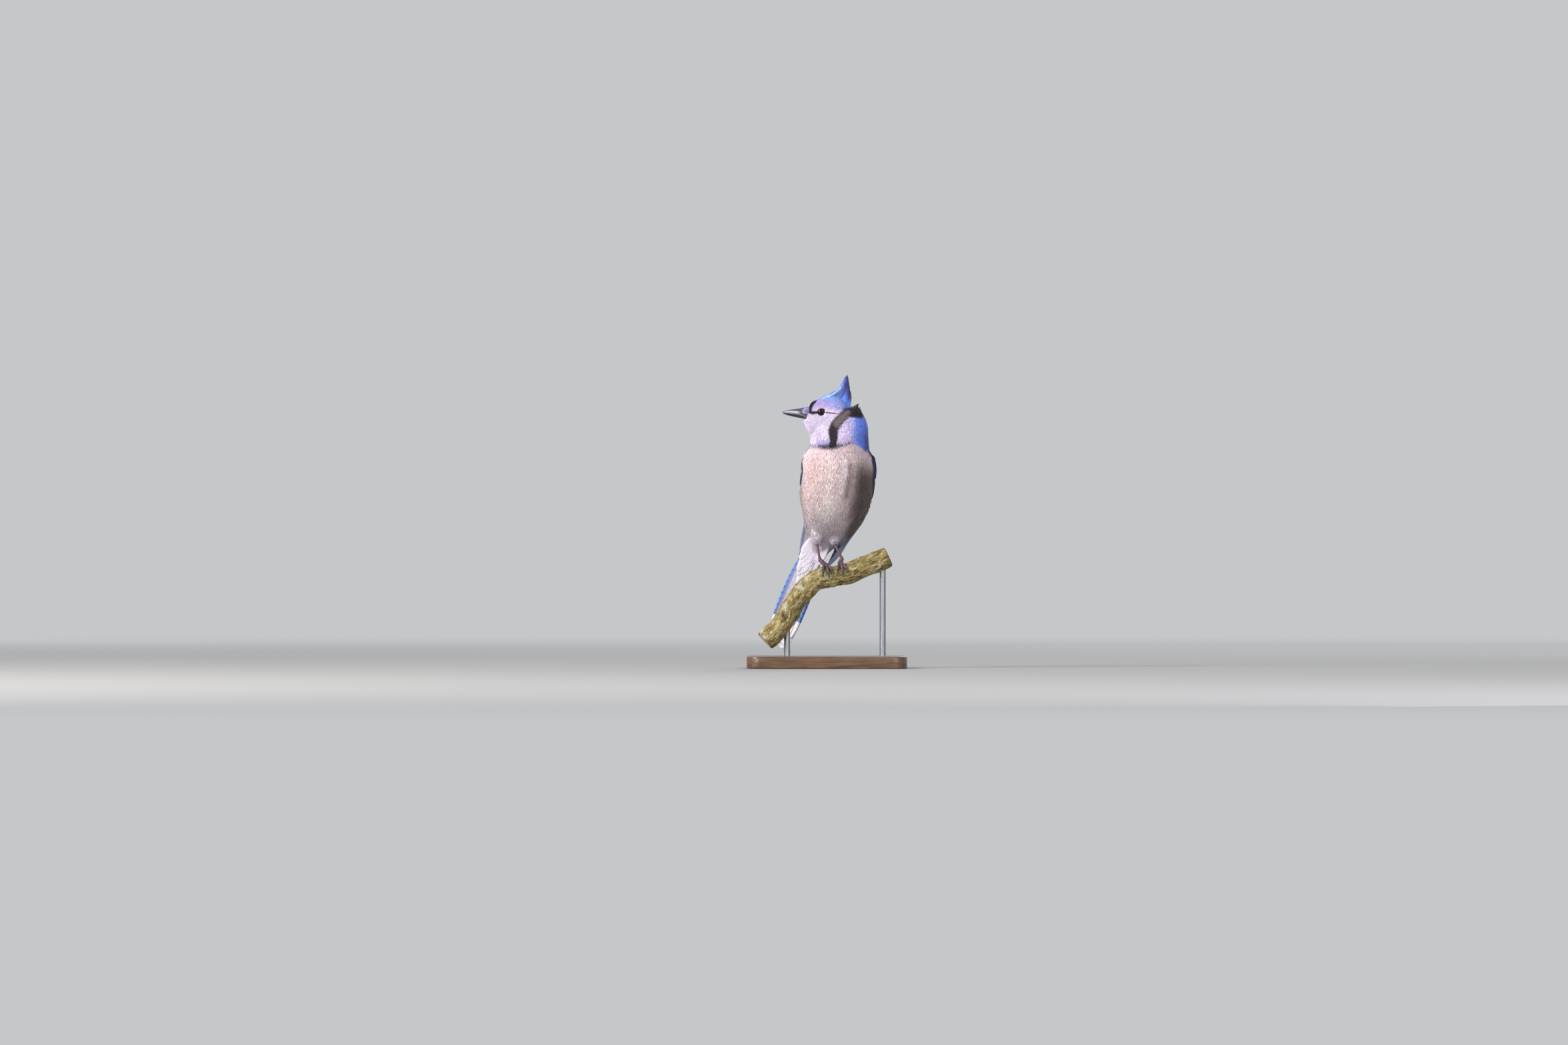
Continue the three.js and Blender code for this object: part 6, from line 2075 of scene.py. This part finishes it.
@dataclass
class Perch:
    """Short length of old branch, gnarled and sawn at both ends."""

    points: tuple[tuple[float, float, float], ...] = (
        (-60, -15, 26.5), (-47, -13.5, 39), (-36.4, -10.5, 55.6), (-23.4, -6, 73.8), (-8.6, -1.5, 86.6),
        (6.5, 0.6, 90), (19.5, 1.4, 92), (33, 2.2, 97.2), (46, 3, 102.4), (60, 4, 109),
    )
    radius: float = 10.2
    # Knots of the branch: distance along it, angle in degrees, size and reach.
    knots: tuple[tuple[float, float, float, float], ...] = ((38, 200, 2.2, 7), (128, 30, 2, 6))
    end_bevel: float = 0.6
    # Bark by its height: in the furrows, on their flanks, on the ridges and on their crests. The dark furrows
    # are painted shade and the pale crests painted highlights.
    bark_tones: tuple[tuple[float, str], ...] = (
        (-0.9, "#45392A"), (-0.35, "#74663F"), (0.05, "#9A8C5F"), (0.45, "#D2C596"),
    )
    line: BentLine = field(init=False)

    def __post_init__(self) -> None:
        """Bends the branch's axis."""
        self.line = BentLine(self.points)

    def frames(self, at: Array) -> tuple[Array, Array, Array, Array]:
        """The axis point and the along, up and front directions at distances along the branch."""
        along = self.line.tangent(at)
        up = unit(np.array([0, 0, 1.0]) - along * along[..., 2:3])
        return self.line.point(at), along, up, -np.cross(up, along)

    def point(self, at: Array, angle: Array, away: Array) -> Array:
        """Points round the branch, with the angle counted from its top towards the front."""
        middle, _, up, front = self.frames(np.asarray(at, float))
        away, angle = np.asarray(away, float), np.asarray(angle, float)
        return middle + up * (np.cos(angle) * away)[..., None] + front * (np.sin(angle) * away)[..., None]

    def surface(self, at: Array, angle: Array) -> Array:
        """Radius of the bark's ridges before their roughness."""
        away = self.radius + 0.35 * (np.sin(0.23 * at + 2 * angle) + np.sin(0.11 * at - 3 * angle))
        for where, turn, size, reach in self.knots:
            around = np.angle(np.exp(1j * (angle - math.radians(turn)))) * self.radius
            away = away + size * np.exp(-2 * ((at - where) ** 2 + around**2) / reach**2)
        return away

    def build(self) -> None:
        """Makes the bark and the two sawn ends as one closed form."""

        def place(turn: Array, along: Array) -> Array:
            """Points of the bark."""
            at, angle = along * self.line.length, turn * FULL_TURN
            rough = self._roughness(at, angle)
            edge = np.minimum(at, self.line.length - at)
            bevel = self.end_bevel * (1 - ease(edge / 1.5))
            return self.point(at, angle, self.surface(at, angle) + rough - bevel)

        branch = bent_grid("perch_bark", 120, 300, place)
        self._inset_ends(branch)
        self._paint(branch)
        bark = LichenedBark("lichened bark").build()
        keep_piece(branch, bark, "bark", "perch_branch")
        for name, where in (("lower", 0.0), ("upper", self.line.length)):
            centre = tuple(float(part) for part in self.line.point(np.array(where)))
            branch.data.materials.append(SawnEndGrain(f"sawn end {name}", centre).build())
        middles = self.line.point(np.array([0.0, self.line.length])) * MM
        for polygon in branch.data.polygons:
            if len(polygon.vertices) > 4:
                nearest = min((0, 1), key=lambda end: (polygon.center - Vector(middles[end])).length)
                polygon.material_index = nearest + 1

    @staticmethod
    def _inset_ends(branch: Object) -> None:
        """Insets the sawn faces a little, so that the bark's rim shows round them."""
        form = bmesh.new()
        form.from_mesh(branch.data)
        ends = [face for face in form.faces if len(face.verts) > 4]
        bmesh.ops.inset_individual(form, faces=ends, thickness=0.9 * MM, depth=-0.15 * MM)
        for face in form.faces:
            face.smooth = len(face.verts) == 4
        form.to_mesh(branch.data)
        form.free()

    def _roughness(self, at: Array, angle: Array) -> Array:
        """Roughness of the bark: long ridges that wind a little along the branch, cracks and fine scales."""
        noise.seed_set(SEED)
        rows = []
        for along, turn in zip(at.tolist(), (angle + 0.011 * at).tolist()):
            place = Vector((along * 0.3, math.cos(turn) * self.radius, math.sin(turn) * self.radius))
            ridges = 0.5 - abs(noise.fractal(place * 0.34, 0.8, 2.1, 4))
            plates = noise.cell(place * 0.3 + noise.noise_vector(place * 0.25) * 0.8)
            fine = noise.fractal(place * 0.95, 0.7, 2.2, 3)
            rows.append(0.95 * ridges + 0.2 * (plates - 0.5) + 0.28 * fine - 0.3)
        return np.array(rows)

    def _paint(self, branch: Object) -> None:
        """Paints the bark by its roughness: dark furrows as painted shade, ochre flanks, pale ridges as
        painted highlights.
        """
        points = points_of(branch)
        stations = self.line.point(np.linspace(0, self.line.length, 171))
        nearest = np.linalg.norm(points[:, None] - stations[None], axis=2).argmin(1)
        at = nearest / 170 * self.line.length
        middle, along, up, front = self.frames(at)
        off = points - middle
        rise, ahead = (off * up).sum(1), (off * front).sum(1)
        height = np.hypot(rise, ahead) - self.surface(at, np.arctan2(ahead, rise))
        paint(branch.data, "pigment", tones(self.bark_tones, height))


@dataclass
class Leg:
    """One leg: where its joints stand and where its toes reach."""

    hand: Hand
    hip: Array
    ankle: Array
    foot: Array
    perch_at: float
    thigh_radii: tuple[float, float, float] = (7.6, 7.0, 2.9)
    thigh_forward: float = 1.4

    def closeness(self, points: Array) -> Array:
        """How far points belong to this thigh, from 0 to 1."""
        run = self.ankle - self.hip
        share = np.clip((points - self.hip) @ run / (run @ run), 0, 1)
        away = np.linalg.norm(points - self.hip - share[:, None] * run, axis=1)
        return ease((9.5 - away) / 3.5) * ease((share - 0.25) / 0.35)


@dataclass(frozen=True)
class Toe:
    """One toe: its place along the perch, how far round it reaches, its claw and its radius."""

    name: str
    along: float
    reach: float
    claw: float
    radius: float


@dataclass
class Legs:
    """Thighs for the skin, and the scaled shanks, toes and claws that grip the perch."""

    perch: Perch
    toes: tuple[Toe, ...] = (
        Toe("inner", -4.3, 62, 27, 1.35), Toe("middle", 0.6, 74, 27, 1.45), Toe("outer", 4.6, 64, 25, 1.3),
        Toe("hind", -0.6, -58, -32, 1.55),
    )
    tarsus_radii: tuple[float, float, float] = (1.75, 1.3, 1.75)
    bark_clearance: float = 0.65
    palm_radius: float = 2.5
    claw_radius: float = 0.95
    legs: tuple[Leg, Leg] = field(init=False)

    def __post_init__(self) -> None:
        """Sets both legs' joints."""
        self.legs = (
            Leg(Hand.LEFT, *np.array([(9.0, 4, 144), (7.4, 10, 122), (14.8, 1.6, 107.2)]), 105.5),
            Leg(Hand.RIGHT, *np.array([(-8.0, 5, 144), (-9.6, 10, 122), (-6.6, 1.2, 105.6)]), 90.5),
        )

    def both(self) -> tuple[Leg, Leg]:
        """Both legs."""
        return self.legs

    def thighs(self) -> list[Object]:
        """The flesh of both thighs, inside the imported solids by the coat's depth."""
        return [self._thigh(leg) for leg in self.legs]

    @staticmethod
    def _thigh(leg: Leg) -> Object:
        """Makes one thigh round its bent axis."""
        middle = (leg.hip * 0.45 + leg.ankle * 0.55) + np.array([0, -leg.thigh_forward, 0])
        upper, mid, lower = leg.thigh_radii
        table = ((0, upper - 1.8), (0.5, mid - 1.9), (0.85, lower + 0.5), (1, lower - 0.9))
        line = BentLine([leg.hip, middle, leg.ankle], 60)
        radius = lambda along, _: sections(table, along)[:, 0]
        return tube("thigh_form", line, radius, 24, 24, (0.0, 1.0, 0.0))

    def build(self) -> None:
        """Makes shanks, feet and claws."""
        scales = ScalyLegSkin("scaly leg skin").build()
        horn = PolishedHorn("dark claw horn", "#241D20", "#4E4448", 0.34, 1.2).build()
        for leg in self.legs:
            word = leg.hand.word
            keep_piece(self._shank(leg), scales, "leg_skin", f"tarsus_{word}")
            toes = [self._toe(leg, toe) for toe in self.toes]
            foot = joined(f"foot_scales_{word}", [self._palm(leg), *toes])
            keep_piece(foot, scales, "leg_skin", f"foot_{word}")
            for toe in self.toes:
                keep_piece(self._claw(leg, toe), horn, "claw", f"claw_{word}_{toe.name}")

    def _shank(self, leg: Leg) -> Object:
        """Makes a shank with a row of broad scutes down its front."""
        top, narrow, bottom = self.tarsus_radii
        table = ((0, top), (0.12, top * 0.95), (0.5, narrow), (0.85, narrow * 1.12), (1, bottom))
        start = mix(leg.ankle, leg.foot, -0.03)

        def radius(along: Array, angle: Array) -> Array:
            """Radius with overlapping scutes in front and a ridge behind."""
            base = sections(table, along)[:, 0]
            scute = (along * 8.5) % 1.0
            front = ease(0.5 + 0.9 * np.sin(angle))
            return base * (1 + 0.09 * front * (scute - 0.45)) * (1 - 0.1 * np.abs(np.cos(angle)))

        line = BentLine([start, (start + leg.foot) / 2, leg.foot], 80)
        return tube(f"shank_{leg.hand.word}", line, radius, 28, 110)

    def _palm(self, leg: Leg) -> Object:
        """Makes the pad that joins the toes."""
        middle, _, up, _ = self.perch.frames(np.array([leg.perch_at]))
        seat = middle[0] + up[0] * (self.perch.radius + self.bark_clearance + 1.35)
        pad = finished("pad_form", ball(seat, self.palm_radius, (28, 18), (1.15, 1.1, 0.78)))
        foot_end = mix(seat, leg.foot, 1.12)
        line = BentLine([seat, mix(seat, foot_end, 0.5), foot_end], 40)
        heel = tube("heel_form", line, lambda along, _: 1.8 + 0.35 * np.sin(along * math.pi), 24, 20)
        return joined("palm_form", [pad, heel])

    def _toe_line(self, leg: Leg, toe: Toe, shares: Array, extra: Array) -> Array:
        """Points over the bark along a toe's line."""
        at = leg.perch_at + toe.along * np.minimum(shares, 1.2) ** 0.8
        angle = np.radians(toe.reach * shares)
        return self.perch.point(at, angle, self.perch.radius + self.bark_clearance + extra)

    def _toe(self, leg: Leg, toe: Toe) -> Object:
        """Makes one toe with its joints' pads and a scute over each joint."""
        shares = np.linspace(0, 1, 9)
        line = BentLine(self._toe_line(leg, toe, shares, np.full(9, 0.95 * toe.radius)), 30)

        def radius(along: Array, angle: Array) -> Array:
            """Radius with pads below and scutes above."""
            base = toe.radius * mix(1.15, 0.82, along) * (1 + 0.13 * np.cos(6 * math.pi * along))
            end = np.sqrt(np.maximum(1 - np.clip((along - 0.93) / 0.07, 0, 1) ** 2, 0.02))
            scute = (along * 11) % 1.0
            return base * end * (1 + 0.07 * (scute - 0.5))

        return tube("toe_form", line, radius, 24, 90)

    def _claw(self, leg: Leg, toe: Toe) -> Object:
        """Makes one curved claw."""
        arc = (self.perch.radius + 1.2) * math.radians(abs(toe.reach))
        start = 1 + 0.62 / arc
        end = 1 + toe.claw / toe.reach
        shares = np.linspace(start, end, 9)
        along = np.linspace(0, 1, 9)
        lift = 0.9 * self.claw_radius + 1.1 * np.sin(math.pi * along) - 0.6 * self.claw_radius * along
        line = BentLine(self._toe_line(leg, toe, shares, lift), 30)

        def radius(share: Array, angle: Array) -> Array:
            """Radius that runs out to a point."""
            return self.claw_radius * (1 - 0.9 * share**1.15) * (1 + 0.08 * np.cos(2 * angle))

        return tube(f"claw_{leg.hand.word}_{toe.name}_horn", line, radius, 20, 40)


@dataclass
class Stand:
    """Plain display stand: a bevelled walnut base and two steel rods up into the perch."""

    perch: Perch
    size: tuple[float, float, float] = (156.0, 136.0, 12.0)
    corner: float = 14.0
    bevel: float = 1.5

    def build(self) -> None:
        """Finishes the base and the rods."""
        keep_piece(self._base(), VarnishedWalnut("varnished walnut").build(), "base_wood", "stand_base")
        steel = BrushedSteel("brushed steel").build()
        for side in ("left", "right"):
            rod = bpy.data.objects.get(f"stand_rod_{side}")
            rod.data.materials.clear()
            rod.data.materials.append(steel)

    def _base(self) -> Object:
        """Makes the base as a rounded board with a bevelled rim."""
        wide, deep, high = (side * MM for side in self.size)
        form = bmesh.new()
        bmesh.ops.create_cube(form, size=1.0)
        bmesh.ops.scale(form, verts=form.verts, vec=Vector((wide, deep, high)))
        bmesh.ops.translate(form, verts=form.verts, vec=Vector((0, 0, high / 2)))
        uprights = [edge for edge in form.edges if abs(edge.verts[0].co.z - edge.verts[1].co.z) > high / 2]
        self._round(form, uprights, self.corner, 14)
        rims = [
            edge for edge in form.edges
            if abs(edge.verts[0].co.z - edge.verts[1].co.z) < 1e-6 and len(edge.link_faces) == 2
            and abs(edge.link_faces[0].normal.z - edge.link_faces[1].normal.z) > 0.5
        ]
        self._round(form, rims, self.bevel, 4)
        base = finished("stand_board", form, smooth=False)
        for polygon in base.data.polygons:
            polygon.use_smooth = abs(polygon.normal.z) < 0.999
        return base

    @staticmethod
    def _round(form: bmesh.types.BMesh, edges: list, radius: float, segments: int) -> None:
        """Rounds edges to a radius in millimetres."""
        bmesh.ops.bevel(
            form, geom=edges, offset=radius * MM, segments=segments, profile=0.5, affect="EDGES", material=-1
        )


@dataclass(frozen=True)
class StudioFloor(Finish):
    """Pale seamless paper that fades into the studio's light far from the object."""

    paper: str = "#A4A4A3"
    near: float = 0.7
    far: float = 3.6
    backdrop: tuple[float, float, float] = (0.56, 0.57, 0.585)

    def fill(self, graph: Graph) -> None:
        """Fades the paper into a glow of the backdrop's colour with the distance from the object."""
        graph.shade(Base_Color=rgba(self.paper), Roughness=0.85, Specular_IOR_Level=0.15)
        fade = graph.step(graph.length(graph.place()), self.near, self.far)
        glow = graph.add("Emission", {"Color": (*self.backdrop, 1.0), "Strength": 1.0}).outputs["Emission"]
        blend = graph.add("MixShader", {0: fade, 1: graph.shader.outputs["BSDF"], 2: glow})
        connect(graph.tree, graph.output.inputs["Surface"], blend.outputs["Shader"])


@dataclass
class Studio:
    """Floor, lights and camera."""

    frame_width: float = 1.5288
    lens: float = 300.0
    sensor: float = 36.0
    aim: tuple[float, float] = (-0.0416, 0.14215)
    floor_half: float = 60.0
    # Name, place, side, power and colour of each lamp.
    lamps: tuple[tuple, ...] = (
        ("key", (-2.4, -1.75, 1.6), 1.2, 112.0, (1.0, 0.965, 0.945)),
        ("fill", (1.1, -2.2, 0.6), 1.6, 22.0, (0.97, 0.95, 1.0)),
        ("low", (-1.5, -2.3, 0.14), 1.0, 19.0, (1.0, 0.96, 0.97)),
        ("back", (0.9, 1.9, 1.6), 1.2, 18.0, (0.95, 0.97, 1.0)),
    )

    def build(self) -> None:
        """Makes the floor, the world's light, the lamps and the camera."""
        finish = StudioFloor("pale seamless paper")
        form = bmesh.new()
        bmesh.ops.create_grid(form, x_segments=8, y_segments=8, size=self.floor_half)
        floor = finished("floor", form)
        floor.data.materials.append(finish.build())
        floor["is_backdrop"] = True
        world = bpy.data.worlds.new("studio")
        bpy.context.scene.world = world
        world.use_nodes = True
        background = world.node_tree.nodes["Background"]
        background.inputs["Color"].default_value = (*finish.backdrop, 1.0)
        background.inputs["Strength"].default_value = 1.0
        for row in self.lamps:
            self._lamp(*row)
        bpy.context.scene.view_settings.view_transform = "Standard"
        self._camera()

    @staticmethod
    def _lamp(name: str, place: tuple, size: float, power: float, colour: tuple) -> None:
        """Adds a square lamp that faces the bird."""
        data = bpy.data.lights.new(name, "AREA")
        data.size = size
        data.energy = power
        data.color = colour
        lamp = linked(bpy.data.objects.new(name, data))
        lamp.location = place
        lamp.rotation_euler = (Vector((0, 0, 0.15)) - Vector(place)).to_track_quat("-Z", "Y").to_euler()

    def _camera(self) -> None:
        """Sets the camera level with the bird and far away, as a long lens sees it."""
        data = bpy.data.cameras.new("camera")
        data.lens = self.lens
        data.sensor_width = self.sensor
        data.sensor_fit = "HORIZONTAL"
        data.clip_end = 200.0
        camera = linked(bpy.data.objects.new("camera", data))
        camera.location = (self.aim[0], -self.frame_width * self.lens / self.sensor, self.aim[1])
        camera.rotation_euler = (math.pi / 2, 0, 0)
        bpy.context.scene.camera = camera


def main() -> None:
    """Builds every part of the model in order."""
    logging.basicConfig(level=logging.INFO, format="%(name)s: %(message)s")
    markings = Markings()
    perch = Perch()
    legs = Legs(perch)
    wings = Wings()
    eyes = Eyes()
    skin = Skin(eyes, legs, wings, markings)
    skin.build()
    eyes.build()
    Coat(skin, wings, legs, markings).build()
    HeadPlumes().build()
    wings.build()
    Tail().build()
    Bill().build()
    legs.build()
    perch.build()
    Stand(perch).build()
    Studio().build()


def write_size() -> None:
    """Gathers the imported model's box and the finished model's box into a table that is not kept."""
    boxes = {"cad": CAD_BOX, "visual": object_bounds()}
    {name: [list(map(float, corner)) for corner in box] for name, box in boxes.items()}


if __name__ == "__main__":
    main()
    write_size()
